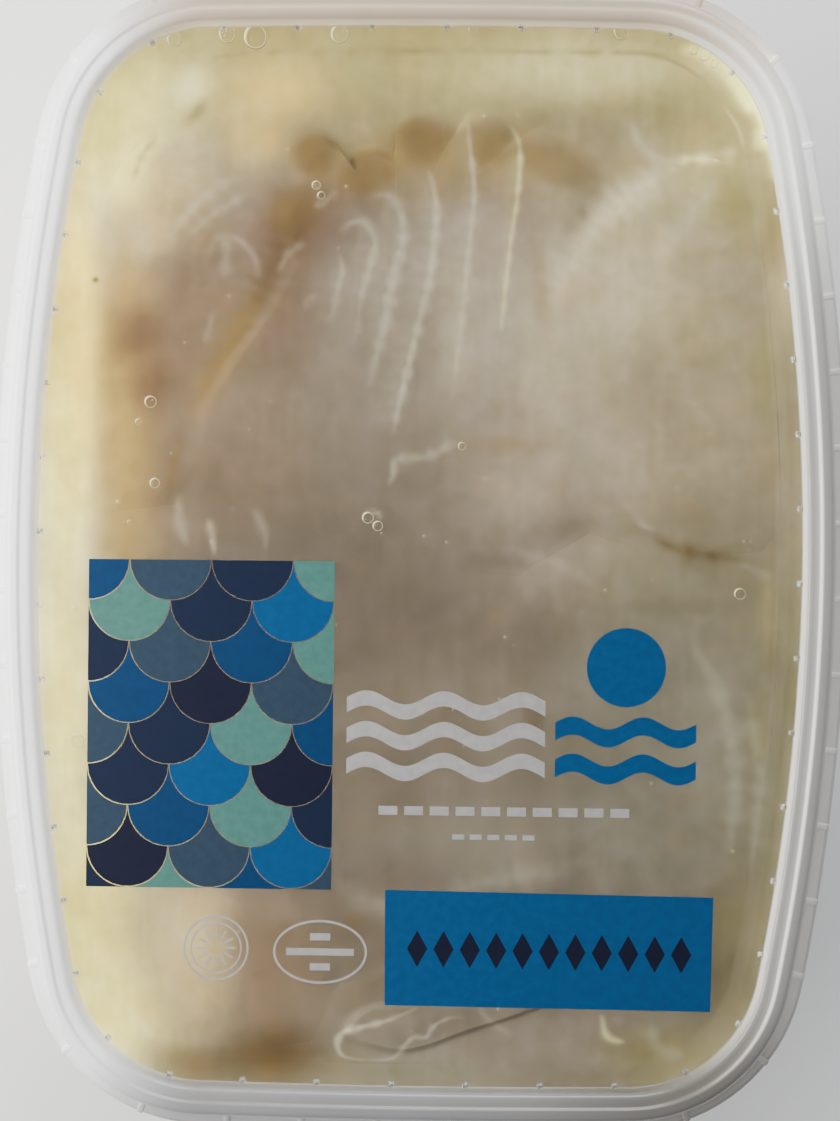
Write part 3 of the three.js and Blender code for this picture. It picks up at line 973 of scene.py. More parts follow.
# %% [markdown]
# ### Tones of the flesh
# Cod parts into flakes. Between them run white skins of tissue, which show as thin pale
# lines, and smoke browns the ends of the flakes. Close below the lid the slices run into
# each other, so one field of tones covers them all: soft round areas are laid over a base
# tone, thin lines over these, and near the wall the cloudy oil takes over. The oil by the
# wall is painted light: bright pale yellow on the left side, where the window lamp falls,
# and darker on the other three. Some areas and lines are painted light and shade as well.
# The field is worked out at each point and kept on the mesh.

# %% Share of a line
def smooth_path(corners, count=90):
    """Points on an open curve through the corners: cubic interpolation of each coordinate."""
    p = np.asarray(corners, dtype=float)
    p = np.vstack([2 * p[0] - p[1], p, 2 * p[-1] - p[-2]])
    t = np.linspace(0, len(p) - 3, count, endpoint=False)
    k = t.astype(int)
    f = (t - k)[:, None]
    a, b, c, d = p[k], p[k + 1], p[k + 2], p[k + 3]
    return b + 0.5 * f * (c - a + f * (2 * a - 5 * b + 4 * c - d + f * (3 * (b - c) + d - a)))


BELL_END = 2.5
GLOW_REACH = 4.5
TAPER, FADE = 0.22, 0.7
WIDTH_SWING, WIDTH_WAVE = 0.25, 2.9
SHARE_SWING, SHARE_WAVE = 0.14, 4.3


def line_share(x, y, corners, width, glow=0.0):
    """From 0 to 1: a bell curve across a smooth path, thinner and fainter at its ends.

    The bell is exp(-(distance / width)^2). A glow adds a wider and weaker bell on the side
    of lower x, as a skin seen edge on. Sine waves along the path make both uneven."""
    path = smooth_path(corners)
    reach = BELL_END * width * (GLOW_REACH if glow else 1.0)
    low, high = path.min(axis=0) - reach, path.max(axis=0) + reach
    near = (x > low[0]) & (x < high[0]) & (y > low[1]) & (y < high[1])
    share = np.zeros(x.shape)
    px, py = x[near], y[near]
    if not len(px):
        return share
    gap = np.hypot(px[:, None] - path[:, 0], py[:, None] - path[:, 1])
    at = gap.argmin(axis=1)
    gap = gap[np.arange(len(px)), at]
    along = at / (len(path) - 1)
    travel = 0.5 * (path[at, 0] + path[at, 1])
    ends = np.clip(np.minimum(along, 1 - along) / TAPER, 0.0, 1.0)
    uneven = 1 - SHARE_SWING + SHARE_SWING * np.sin(SHARE_WAVE * travel)
    own_width = width * (0.5 + 0.5 * ends) * (1 + WIDTH_SWING * np.sin(WIDTH_WAVE * travel))
    line = np.exp(-(gap / own_width) ** 2)
    halo = glow * np.exp(-(gap / (GLOW_REACH * width)) ** 2) * (px < path[at, 0])
    share[near] = np.maximum(line, halo) * ends ** FADE * uneven
    return share


# %% Share of an area
SOFT_EDGE = 1.3
CRISP_EDGE = 2.6


def area_share(x, y, middle, reach, turn=0.0, edge=SOFT_EDGE):
    """From 0 to 1: a round area with a flat middle, turned by some degrees.

    With u, v in units of its reach it is exp(-(u^2 + v^2)^edge)."""
    angle = np.radians(turn)
    u = (x - middle[0]) * np.cos(angle) + (y - middle[1]) * np.sin(angle)
    v = (y - middle[1]) * np.cos(angle) - (x - middle[0]) * np.sin(angle)
    return np.exp(-((u / reach[0]) ** 2 + (v / reach[1]) ** 2) ** edge)


# %% Tones
# Two of these tones, the bright yellows used only along the left wall, are painted light for the
# oil lit by the window; glow is a painted glow, and shade and dusk are painted shade.
TONE = dict(
    flesh=(0.130, 0.105, 0.092), pale=(0.36, 0.31, 0.24), mist=(0.26, 0.22, 0.21),
    sand=(0.24, 0.195, 0.140), rose=(0.125, 0.080, 0.052), shade=(0.070, 0.053, 0.045),
    dusk=(0.112, 0.096, 0.060), grey=(0.125, 0.115, 0.110), plum=(0.085, 0.042, 0.024),
    brown=(0.060, 0.032, 0.001), tan=(0.200, 0.140, 0.035), gold=(0.130, 0.080, 0.018),
    buff=(0.47, 0.37, 0.22), peach=(0.62, 0.42, 0.075), painted_light_cream=(0.96, 0.86, 0.26),
    oil=(0.37, 0.32, 0.135), olive=(0.19, 0.165, 0.065), skin=(0.50, 0.47, 0.42),
    milk=(0.72, 0.68, 0.40), glow=(1.0, 0.97, 0.40), honey=(0.28, 0.180, 0.040),
    painted_light_amber=(0.98, 0.74, 0.14), bark=(0.088, 0.052, 0.012), fog=(0.135, 0.135, 0.116),
)
# Painted light: the cloudy oil by the wall is bright on the left side, where the window lamp falls,
# and darker on the other three.
WALL_OIL_AND_PAINTED_LIGHT = dict(
    left=(1.0, 1.0, 0.75), right=(0.148, 0.131, 0.078), far=(0.36, 0.32, 0.12),
    near=(0.15, 0.135, 0.105),
)
print(len(TONE), "tones of flesh and oil")

# %% [markdown]
# ### Where each tone lies
# The field is laid down like paint. Round areas are rows of a tone, its strength, a
# middle, a reach both ways and, where it matters, a turn in degrees: flesh first, then
# cloudy oil along the wall, then smoked ends and small marks. The rows of shade and dusk
# are painted shade, and some other rows and lines are painted light and shade, each noted
# where it stands. The brown ends of the central slice are lobes, with a crisper edge.
# Lines are rows of a tone, a strength, a width, the corners of a path and, for skins that
# shine to one side, a glow. A line may be stronger than 1: its share is cut off there,
# which gives it a broad full middle.

# %% Areas
AREAS = [
    ("pale", 0.95, (34, 45), (15, 21), -35), ("sand", 0.95, (40, 14), (24, 17)),
    ("pale", 0.6, (22, 36), (8, 20)), ("sand", 0.5, (50, 40), (10, 20)),
    ("mist", 0.85, (9.5, 42), (7.5, 20)), ("mist", 0.5, (24, 12), (14, 12)),
    ("rose", 0.9, (-36, 36), (15, 22)), ("shade", 0.75, (-24, 4), (24, 14)),
    ("shade", 0.65, (-6, -4), (20, 10)), ("rose", 0.5, (-30, 15), (12, 10)),
    ("grey", 0.8, (18, -47), (32, 9)), ("dusk", 0.85, (44, -2), (18, 12)),
    ("dusk", 0.5, (52, -34), (9, 26)), ("shade", 0.7, (6, -13), (22, 8)),
    ("mist", 0.75, (20, -77), (24, 5.5)), ("tan", 0.85, (2, 64), (28, 6.5)),
    ("oil", 0.95, (0, 82), (66, 10)), ("oil", 0.8, (-38, 72), (11, 9)),
    ("oil", 0.7, (50, 68), (14, 15)), ("olive", 0.6, (-12, 75), (8, 9)),
    ("milk", 0.55, (31, 79), (20, 5)), ("olive", 0.3, (2, 72), (14, 3)),
    # Painted light: the first peach row and the bright yellow rows at the left wall brighten the
    # oil where the window lamp falls.
    ("peach", 0.9, (-56, 36), (5, 26)), ("peach", 0.55, (-24, 75), (8, 5)),
    ("sand", 0.75, (-34, 62.5), (11, 5.5), 15), ("painted_light_cream", 0.9, (-50.5, 69), (7, 14), -25),
    ("rose", 0.6, (-42, 15), (6, 26)), ("honey", 0.9, (-48.4, 24), (5.6, 34)),
    ("painted_light_cream", 0.95, (-57.4, 20), (3.8, 44)), ("painted_light_amber", 0.8, (-55.5, 34), (3, 22)),
    ("painted_light_cream", 0.9, (-57, -24), (4, 16)), ("painted_light_cream", 0.97, (-54, -58), (10, 22)),
    ("painted_light_cream", 0.97, (-47, -74), (7, 7)), ("buff", 0.9, (-37, -64), (9, 14)),
    ("rose", 0.85, (-24, -66), (8, 14)), ("rose", 0.8, (-12, -66), (9, 8)),
    ("brown", 1, (-22, -80.5), (8, 5), 6), ("brown", 0.6, (-33, -82), (10, 3), 5),
    # Painted highlight and painted shade: the milk row at (-37.5, 75.5) and the olive row at
    # (-36.6, 71.2) give a small fold at the top left a lit side and a shaded facet.
    ("gold", 0.5, (-40, -81), (6, 2.5), -15), ("milk", 0.75, (-37.5, 75.5), (2.6, 4), -40),
    ("olive", 0.95, (-36.6, 71.2), (1, 2.2), -38), ("plum", 0.8, (-18, 54), (11, 5.5), 18),
    ("rose", 0.4, (-35, 36), (6, 6)), ("rose", 0.45, (4, 60.5), (14, 4)),
    ("plum", 0.5, (-22, 44), (6, 15)), ("brown", 0.25, (-3, 63), (16, 4.5)),
    ("olive", 0.4, (43, 37), (9, 9)), ("mist", 0.3, (46, -24), (8, 16)),
    ("shade", 0.6, (-2, -50), (12, 5)), ("shade", 0.45, (27, -84), (14, 3)),
    ("buff", 0.6, (-43.5, 53), (4.5, 5), -20), ("tan", 0.35, (29, 54), (5, 4)),
    ("grey", 0.5, (-10, -66), (6, 8)), ("brown", 0.45, (41, -7.3), (7, 1.6), -3),
    ("mist", 0.35, (20, -45), (20, 7)), ("olive", 0.6, (42, -80), (12, 5)),
    ("plum", 0.85, (-45.6, 35.5), (4.4, 5)), ("plum", 0.75, (-43.5, 27), (4, 5.2)),
    ("shade", 0.3, (0, -35), (9, 6)), ("olive", 0.9, (50.5, 57), (4.4, 5.6), 15),
    ("olive", 0.6, (55, 30), (3.2, 8)), ("olive", 0.5, (42, 73), (9, 4)),
    ("olive", 0.5, (37, -78), (8, 3)), ("olive", 0.5, (50, -62), (5, 8)),
    ("gold", 0.35, (13, 18), (8, 1.6)), ("gold", 0.35, (19.5, 41), (1.8, 8), 8),
    ("brown", 0.9, (-52.5, 44), (0.6, 0.5)), ("brown", 0.9, (-27.6, 36.6), (0.7, 0.5)),
    ("brown", 0.5, (18.5, -25.5), (1.6, 2.4)), ("gold", 0.6, (-10, -58.5), (1.6, 1.6)),
    ("shade", 0.35, (20, -45), (34, 14)), ("shade", 0.4, (25, -78), (26, 6)),
    ("buff", 0.6, (-40.5, 60), (6.5, 5), 15), ("shade", 0.3, (-2, 22), (9, 12)),
    ("shade", 0.3, (-6, 60), (6, 4)), ("shade", 0.5, (3, -75.5), (9, 2), 20),
    # Painted light: the second row here brightens the oil by the left wall.
    ("buff", 0.7, (-35.5, -65), (5, 9)), ("painted_light_cream", 0.45, (-48.5, 61), (4.5, 6)),
    ("tan", 0.3, (-39, 54), (7, 5)), ("brown", 0.3, (-13, 59.5), (11, 3.5)),
    ("shade", 0.3, (-11.4, 54), (5, 5)), ("peach", 0.4, (-27, 67), (5, 4)),
    ("sand", 0.35, (-12, 68.5), (4, 3)), ("olive", 0.25, (35, 57), (12, 6)),
    ("pale", 0.25, (5, 35), (4, 14)), ("dusk", 0.25, (21, 33), (12, 7)),
    ("buff", 0.4, (57.5, 44), (2.5, 8)), ("tan", 0.5, (55.8, 52), (1.8, 7)),
    ("shade", 0.3, (27, 3), (9, 5)), ("shade", 0.25, (50, 9), (12, 5)),
    ("shade", 0.25, (-8, -17), (8, 6)), ("shade", 0.25, (44, -16), (7, 6)),
    ("shade", 0.25, (51, -36), (4, 7)), ("fog", 0.55, (40, -26), (17, 24)),
    ("tan", 0.3, (-40, -75), (6, 6)), ("rose", 0.25, (-45, -57), (5, 6)),
    ("shade", 0.25, (-12, -58), (6, 4)), ("shade", 0.2, (-17, -78), (8, 3)),
    ("brown", 0.15, (-3, -36), (5, 4)), ("tan", 0.25, (-47, 3), (7, 5)),
    ("brown", 0.3, (57, -15.5), (1.7, 4.5), 8), ("olive", 0.4, (56, -8), (1.8, 7)),
    ("grey", 0.4, (50, -26), (2.6, 9), 5), ("olive", 0.35, (54.5, -28), (1.8, 5)),
    ("shade", 0.35, (51.5, -64), (6, 9)), ("shade", 0.2, (-11, 9), (8, 5)),
]
print(len(AREAS), "areas")

# %% Lobes
LOBES = [
    ("bark", 1, (-17.3, 64.6), (3.9, 3.9)), ("bark", 1, (-8.8, 61.6), (4.8, 3.6), 20),
    ("bark", 1, (-0.2, 67), (5, 4.2)), ("bark", 0.68, (10.6, 66.6), (5.2, 4)),
    ("bark", 0.5, (21.5, 63.4), (7.4, 3.8), -25), ("bark", 0.9, (-20.8, 55), (4.2, 4.2)),
]
print(len(LOBES), "lobes")

# %% Lines
LINES = [
    # Painted glow: the first line is bright light gathered along the far right corner of the oil.
    ("glow", 2.6, 1.25, [(41, 81.8), (47.5, 79.7), (50.4, 76.9), (52.9, 73.2), (54.7, 69.2),
                         (55.8, 65), (56.4, 60)]),
    # Painted shade: this olive line darkens the flesh along the foot of the lid panel's step near
    # the far wall.
    ("olive", 0.65, 0.5, [(-37, 78.2), (-30, 80.6), (-15, 81.2), (5, 81.3), (22, 81.3),
                          (35.3, 81.2), (40.4, 79.6), (44.4, 77.2), (47.3, 74.3)]),
    ("brown", 0.62, 2.5, [(-20, 56), (-22.5, 49), (-25.5, 43), (-28.5, 37)]),
    ("gold", 0.95, 2.5, [(-25.5, 43), (-29, 36.5), (-31.6, 31.7), (-34, 27.5), (-37.5, 21.5)]),
    ("gold", 0.8, 0.7, [(-37.8, 18.5), (-39.8, 14), (-40.3, 10)]),
    ("skin", 0.2, 0.65, [(-14.5, 37), (-13.6, 42), (-12.8, 46), (-13.5, 48.5)], 0.25),
    ("skin", 0.25, 0.75, [(-10.5, 34), (-9.6, 42), (-8.2, 47), (-7.6, 50.5), (-9.2, 53.4),
                          (-11.5, 53.4), (-13.5, 51.5)], 0.32),
    ("skin", 0.28, 1, [(-8.5, 57.8), (-5.2, 57.6), (-3.4, 54.5), (-3.2, 50.5), (-4.6, 45),
                       (-5.7, 38), (-7.2, 32), (-8.5, 26)], 0.25),
    ("skin", 0.41, 0.75, [(0.6, 62.5), (1.9, 58), (2.2, 54), (1.4, 46), (-0.5, 37), (-2.2, 30),
                          (-3.8, 23), (-4.2, 19)], 0.4),
    ("skin", 0.39, 0.52, [(6.8, 71.5), (7.4, 66), (8.1, 60), (8, 55), (7.2, 47), (6.6, 40),
                          (5.8, 32), (4.7, 23)], 0.25),
    ("milk", 0.5, 0.42, [(13.5, 70), (15.4, 66), (15.1, 58), (14.3, 52), (13.5, 45), (13, 39),
                         (12.7, 35.5)], 0.2),
    ("skin", 0.27, 0.76, [(-5, 14.8), (-3, 15.8), (1, 16), (4, 17.6), (6.5, 18.6)]),
    ("skin", 0.24, 0.54, [(-4.4, 16), (-4.2, 13.5), (-5, 11.5)]),
    ("skin", 0.34, 0.38, [(-9.2, 6.3), (-8.2, 7.2), (-6.8, 7), (-5.8, 5.8)]),
    ("skin", 0.34, 0.54, [(-34, 6), (-33.3, 3), (-32.8, -0.5)]),
    ("skin", 0.2, 0.86, [(-39, 10), (-38.6, 5), (-37, 1)]),
    ("skin", 0.16, 0.63, [(-27, 8), (-25, 4.5), (-24.5, 1)]),
    ("skin", 0.14, 0.6, [(-17.5, 55.8), (-15.5, 57), (-13.3, 58.7)]),
    ("skin", 0.12, 0.6, [(-23.3, 45), (-21.5, 48.3), (-18.5, 50.3)]),
    ("skin", 0.12, 0.6, [(-19, 39.8), (-17.8, 41), (-16.8, 42.3)]),
    ("brown", 0.9, 0.3, [(-20.6, 50.2), (-19.8, 51.6), (-19, 52.8)]),
    ("skin", 0.18, 0.9, [(-41, 50.5), (-37, 55.5), (-33, 59), (-29, 61)]),
    ("skin", 0.15, 0.8, [(-38.5, 50), (-35, 53.5), (-32, 55.5), (-30, 57), (-27.5, 58)]),
    ("skin", 0.14, 0.65, [(-35.5, 46), (-33, 50.5), (-30.5, 51), (-28.3, 49.6), (-26.6, 47),
                          (-26.2, 43.5)]),
    ("skin", 0.18, 0.8, [(-31.9, 44), (-31.4, 48), (-31.8, 51.5)]),
    ("skin", 0.12, 0.6, [(-35, 33.5), (-34, 36.5), (-33.4, 39.5)]),
    # Painted shadow: a soft dark line along the edge of the left slice.
    ("rose", 0.5, 0.7, [(-46.8, 59.5), (-45.2, 64), (-42.5, 68)]),
    # Painted highlight: these two pale lines light the ridge of a fold across the right slice.
    ("milk", 0.75, 0.7, [(50.8, 65.5), (47.5, 64.3), (43, 64.3), (40, 63.6)]),
    ("skin", 0.41, 2.4, [(41.5, 64.3), (37.5, 61.5), (33.5, 58.5), (29, 55), (25, 50), (22, 45),
                         (20, 40)]),
    ("skin", 0.34, 0.86, [(33.3, 70.5), (34.5, 67), (37, 64.8), (40.5, 63.8)]),
    ("skin", 0.27, 1.56, [(46.8, 61.5), (44, 56.5), (40, 51), (36, 46.5)]),
    # Painted highlight: a pale line where the panel's step catches light in the far right corner.
    ("milk", 0.4, 0.4, [(48, 72.5), (50.3, 69.5), (51.5, 66)]),
    ("mist", 0.3, 0.8, [(25, 17), (29, 14), (33, 9), (36, 5.5), (38.5, 4.4)]),
    ("skin", 0.14, 0.43, [(34.5, 6), (36.5, 5.2), (38.5, 4.8)]),
    ("mist", 0.3, 0.6, [(51, -0.5), (53.5, -1.4), (56.5, -3)]),
    ("mist", 0.4, 0.9, [(12, 2), (18, 0.5), (24, -1.5), (29, -5)]),
    ("shade", 0.4, 1.2, [(6, 0.5), (12, -0.6), (18, -1.6)]),
    ("brown", 0.75, 1.2, [(37, 3.8), (40, 2.3), (43, 1.3), (47, 0.7), (52.5, -0.1)]),
    ("skin", 0.2, 1.4, [(43.5, -12.5), (48.5, -22), (51, -35), (49.5, -49.5)]),
    ("skin", 0.16, 1.1, [(52.5, -20.5), (55, -35), (53.5, -51)]),
    ("skin", 0.12, 1.6, [(-18, -50), (-4, -56), (12, -52), (30, -48)]),
    ("milk", 0.8, 0.6, [(-47, -72.5), (-44.5, -75.5), (-42, -78.5)]),
    ("skin", 0.54, 0.46, [(1, -72), (-4, -74.2), (-8.5, -75.5), (-11.3, -76.4), (-12.3, -78.2),
                          (-11.5, -80.2), (-9, -81)]),
    ("skin", 0.34, 0.38, [(-10, -81), (-5.5, -81), (-3, -80.3), (-1.6, -78.5), (0, -77), (2, -76.9),
                          (3, -75.3), (5.5, -73.8), (8.5, -73.6)]),
    ("skin", 0.2, 0.76, [(10, -71.5), (12, -74), (15.5, -76.5)]),
    ("milk", 0.5, 0.6, [(30, -73), (31, -76.5), (34, -77.5)]),
    ("skin", 0.2, 1.08, [(38, -74), (39, -78), (44, -80)]),
]
print(len(LINES), "lines")

# %% Field of tones
ROOM_OFFSET = -2.9
WALL_GLOW = 5.0


def laid_over(colour, tone, share):
    """A colour with a share of a tone laid over it."""
    return colour + share[..., None] * (np.array(tone) - colour)


def tone_at(x, y):
    """The colour at each point, painted light and shade included, and the share of white skin:
    the wall, then areas, then lines.
    """
    offset, way = offset_at(x, y)
    # Painted light of the oil by the wall: bright on the left side, darker on the others.
    wall = np.exp(np.minimum(offset - ROOM_OFFSET, 0) / WALL_GLOW)
    colour = laid_over(np.array(TONE["flesh"]), by_side(way, WALL_OIL_AND_PAINTED_LIGHT), wall)
    for rows, edge in ((AREAS, SOFT_EDGE), (LOBES, CRISP_EDGE)):
        for tone, strength, middle, reach, *turn in rows:
            share = strength * area_share(x, y, middle, reach, *turn, edge=edge)
            colour = laid_over(colour, TONE[tone], share)
    skin = np.zeros(x.shape)
    for tone, strength, width, corners, *glow in LINES:
        share = np.minimum(strength * line_share(x, y, corners, width, *glow), 1.0)
        colour = laid_over(colour, TONE[tone], share)
        if tone == "skin":
            skin = np.maximum(skin, share)
    return colour, skin


# %% [markdown]
# ### Seams
# Soft slices pressed together meet in shallow valleys. Each surface has its own height, and
# where two are nearly as high, both rise a little towards a common smooth surface.

# %% Heights
SLICE_WAVE, SLICE_WAVE_LENGTH = 0.35, 9
EDGE_DROP = 3.2
EDGE_START = 0.80
SEAM_BLEND = 0.9
RIPPLE, RIPPLE_LENGTH, RIPPLE_SEED = 0.04, 2.3, 7
SKIN_GROOVE = 0.08
CLOUD_TOP = ((-16.0, 37.0), (-11.0, 38.3), (-6.0, 39.6), (-3.0, 40.6), (-1.0, 41.4), (0.6, 42.3))


def share_at(spec, x, y, count=720):
    """How far points lie from a slice's middle, as a share of its reach in that direction."""
    middle = np.mean(spec["corners"], axis=0)
    away = smooth_loop(spec["corners"], 4 * count) - middle
    slot = np.floor(np.arctan2(away[:, 1], away[:, 0]) / (2 * np.pi) * count).astype(int) % count
    reach = np.zeros(count)
    np.maximum.at(reach, slot, np.linalg.norm(away, axis=1))
    turn = np.arctan2(y - middle[1], x - middle[0]) / (2 * np.pi) * count - 0.5
    own_reach = np.interp(turn, np.arange(count), reach, period=count)
    return np.hypot(x - middle[0], y - middle[1]) / own_reach


def own_height(spec, x, y, share):
    """A slice's height: its top less sag times the share cubed, less the drop at its edge,
    plus soft waves, less a dip that bends it down towards one end."""
    wave = SLICE_WAVE * wobble(x, y, SLICE_WAVE_LENGTH, spec["seed"])
    wave = wave * (1 - np.minimum(share, 1) ** 2)
    start, stop, depth = spec.get("dip", (0, 1, 0))
    t = np.clip((y - start) / (stop - start), 0, 1)
    bend = depth * t ** 2 * (3 - 2 * t)
    slope = EDGE_DROP * np.clip((share - EDGE_START) / (1 - EDGE_START), 0, 3) ** 2
    return spec["top"] - spec["sag"] * share ** 3 + wave - bend - slope


def cloud_height(offset):
    """The height of the cloudy oil by its distance from the outline."""
    return np.interp(offset, *zip(*CLOUD_TOP))


# %% One surface over all slices
def joined(own, x, y):
    """A surface's height once it runs into its neighbours, with no crease where two cross.

    All rise to one common surface, the smooth largest of all heights. One that lies under
    others by some depth goes below it by the depth squared over the depth plus a length."""
    heights = [own_height(spec, x, y, share_at(spec, x, y)) for spec in SLICES.values()]
    heights = np.array(heights + [cloud_height(offset_at(x, y)[0])])
    highest = heights.max(axis=0)
    fill = SEAM_BLEND * np.log(np.exp((heights - highest) / SEAM_BLEND).sum(axis=0))
    under = np.maximum(highest - own, 0)
    return highest + fill - under ** 2 / (under + SEAM_BLEND)


def relief(x, y, skin):
    """Fine ripples, the same on whatever lies on top, and shallow grooves along white skin."""
    return RIPPLE * wobble(x, y, RIPPLE_LENGTH, RIPPLE_SEED) - SKIN_GROOVE * skin


# %% Points of a slice
UNDER_SHARES = (0.5, 0.86, 0.95, 0.985)
UNDER_RISE = (0.0, 0.0, 0.1, 0.2)
LAST_SHARE = 0.02
LEAST_THICK = 0.3


def slice_points(spec, rings, count):
    """Rings of a slab from the middle of its underside to the middle of its top.

    A share runs from 0 in the middle to 1 at the edge. White skins lie in shallow grooves
    between the flakes."""
    middle = np.mean(spec["corners"], axis=0)
    edge = smooth_loop(spec["corners"], count)[::-1] - middle
    share = np.concatenate([UNDER_SHARES, np.linspace(1, LAST_SHARE, rings)])
    low = spec["top"] - spec["thick"]
    flat = middle + share[:, None, None] * edge[None]
    offset, way = offset_at(flat[..., 0], flat[..., 1])
    flat = flat - way * np.maximum(offset - ROOM_OFFSET, 0)[..., None]
    x, y = flat[..., 0], flat[..., 1]
    skin = tone_at(x, y)[1]
    z = joined(own_height(spec, x, y, share[:, None]), x, y) + relief(x, y, skin)
    z = np.maximum(z, low + LEAST_THICK)
    z[:len(UNDER_RISE)] = low + np.array(UNDER_RISE)[:, None]
    return np.concatenate([flat, z[..., None]], axis=-1)


# %% [markdown]
# ### Cod finish
# Cold-smoked cod is moist and half clear. The shader takes the tone kept on the mesh and
# makes it uneven with soft noise, golden blotches and fine fibres. No light is let into
# the flesh: where two slices cut into each other, that would draw a dark line.

# %% Fish material
WHITE = (1.0, 1.0, 1.0)
FLESH_LAYERS = [
    dict(scale=70.0, detail=4.0, rough=0.6, low=(0.34, (0.86, 0.84, 0.80)),
         high=(0.66, (1.14, 1.16, 1.20))),
    dict(scale=500.0, detail=2.0, stretch=(1.0, 0.1, 1.0), low=(0.45, WHITE),
         high=(0.75, (1.10, 1.10, 1.10))),
    dict(scale=150.0, low=(0.54, WHITE), high=(0.74, (1.02, 0.96, 0.80))),
    dict(scale=300.0, low=(0.38, (0.94, 0.94, 0.88)), high=(0.62, (1.06, 1.05, 1.08))),
]


def cod_finish(name):
    """Smoked cod in oil, with its mean colour from the tones kept on the mesh."""
    material, tree, shader, where = new_material(name)
    colour = tones_of_mesh(tree)
    for layer in FLESH_LAYERS:
        colour = tinted(tree, colour, mottled(tree, where, **layer)["Color"])
    wire(tree, shader, {"Base Color": colour, "Roughness": 0.42, "Specular IOR Level": 0.12})
    bump(tree, shader, mottled(tree, where, 70.0, detail=1.5)["Noise"], 0.00006)
    return material


def cod_tone(x, y, z):
    """The mean colour of the flesh or cloudy oil at points, with its painted light and shade."""
    return tone_at(x, y)[0]


cod_material = cod_finish("smoked_cod")
print("cod finish:", len(FLESH_LAYERS), "layers of mottling over the tones")

# %% Slices in place
for name, spec in SLICES.items():
    points = slice_points(spec, *spec.get("grid", SLICE_GRID))
    flesh = keep_tones(surface(name + "_flesh", points), cod_tone)
    place(flesh, [name], "cod", cod_material)

# %% Stack
STACK_LAYERS = 5
STACK_TOP = 33.4
STACK_FOOT = FLOOR_THICK + 0.45
RINGS_A_LAYER = 14
LAYER_GROOVE, GROOVE_CUT = 1.4, 0.02
WALL_GAP, GAP_SWING = 1.9, 1.1
LAYER_LIFT = 0.7
BULGE_LENGTH, LIFT_LENGTH = 13, 16


def stack_points(count=480):
    """Rings up the side of the stack: each layer bulges as half a wave between grooves."""
    share = np.arange(count) / count
    at, out = outline(share)
    steps = np.linspace(0, STACK_LAYERS, STACK_LAYERS * RINGS_A_LAYER + 1)
    layer = np.minimum(steps.astype(int), STACK_LAYERS - 1)
    part = steps - layer
    rings = []
    for k, s in zip(layer, part):
        bulge = np.sin(np.pi * np.clip(s, GROOVE_CUT, 1 - GROOVE_CUT)) ** 0.5
        z = STACK_FOOT + (STACK_TOP - STACK_FOOT) * (k + s) / STACK_LAYERS
        away = WALL_GAP + GAP_SWING * wobble(*at.T, BULGE_LENGTH, k + 3)
        offset = inner_wall(max(z, WALL_LOW[1])) - away - LAYER_GROOVE * (1 - bulge)
        lift = LAYER_LIFT * wobble(*at.T, LIFT_LENGTH, k + 7) * (k > 0)
        flat = at + out * offset[:, None]
        rings.append(np.column_stack([flat, z + lift]))
    return np.array(rings)


# Along the wall the stack takes the oil's painted light from the field of tones.
stack = keep_tones(surface("cod_stack_flesh", stack_points()), cod_tone)
place(stack, ["cod_stack"], "cod", cod_material)

# %% [markdown]
# ### Oil
# Oil fills what the fish leaves free. It is one clear body that reaches a little way into
# the plastic round it, so that no air gap shows. Along the wall it is cloudy with fish fat,
# and a soft-edged ring of that cloud lies on the tub's ledge and dips under the slices.

# %% Cloudy ring
cloud_foot = rounded([
    (CLOUD_TOP[0][0], 35.8), (-3.2, 36.2), (-2.6, LEDGE - 0.2), (0.45, LEDGE + 0.75),
    (0.95, LEDGE + 1.6), (1.0, LEDGE + 4.0),
], 0.8)
cloud_offsets = np.linspace(CLOUD_TOP[-1][0], CLOUD_TOP[0][0], 70)
cloud_surface = np.column_stack([cloud_offsets, cloud_height(cloud_offsets)])
cloud_rings = loft(np.vstack([cloud_foot, cloud_surface]))
upper = cloud_rings[len(cloud_foot):]
x, y = upper[..., 0], upper[..., 1]
upper[..., 2] = joined(upper[..., 2], x, y) + relief(x, y, tone_at(x, y)[1])
# The cloudy ring's tones carry the wall's painted light: bright on the left side.
cloud = keep_tones(surface("oil_cloud", cloud_rings, join=True), cod_tone)
place(cloud, [], "cod", cod_finish("oil_cloud"))

# %% Oil
OIL_IOR = 1.47
INTO = 0.4
oil_material, tree, shader, _ = new_material("oil")
wire(tree, shader, {
    "Base Color": (0.95, 0.92, 0.72, 1.0), "Transmission Weight": 1.0, "Roughness": 0.0,
    "IOR": OIL_IOR, "Specular IOR Level": 0.05,
})
let_shadows_through(oil_material, tree, shader, (0.97, 0.95, 0.85))

oil_profile = rounded([
    (LID_MIDDLE, FLOOR_THICK - INTO), (-8.4, FLOOR_THICK - INTO),
    (-6.3 + INTO, FLOOR_THICK + 1.2), (WALL_LOW[0] + INTO, WALL_LOW[1]),
    (WALL_HIGH[0] + INTO, WALL_HIGH[1]), (-1.6 + INTO, LEDGE - 0.7), (0.9 + INTO, LEDGE + 0.2),
    (1.25 + INTO, LEDGE + 1.0), (1.3 + INTO, BAND_TOP - 1.6),
    (0.3, BAND_UNDER + INTO), (STEP_HEAD, BAND_UNDER + INTO), (STEP_FOOT, PANEL_UNDER + INTO),
    (LID_MIDDLE, PANEL_UNDER + INTO),
], 0.5)
place(surface("oil", loft(oil_profile)), [], "cod", oil_material)

# %% [markdown]
# ### Bubbles
# Air bubbles rise under the lid and gather below its raised band. Most are tiny. Each one
# is a ball, pressed a little flat against the plastic, that bends light as a droplet does.
# On each, a thin pale crescent on the side towards the light is a painted highlight.

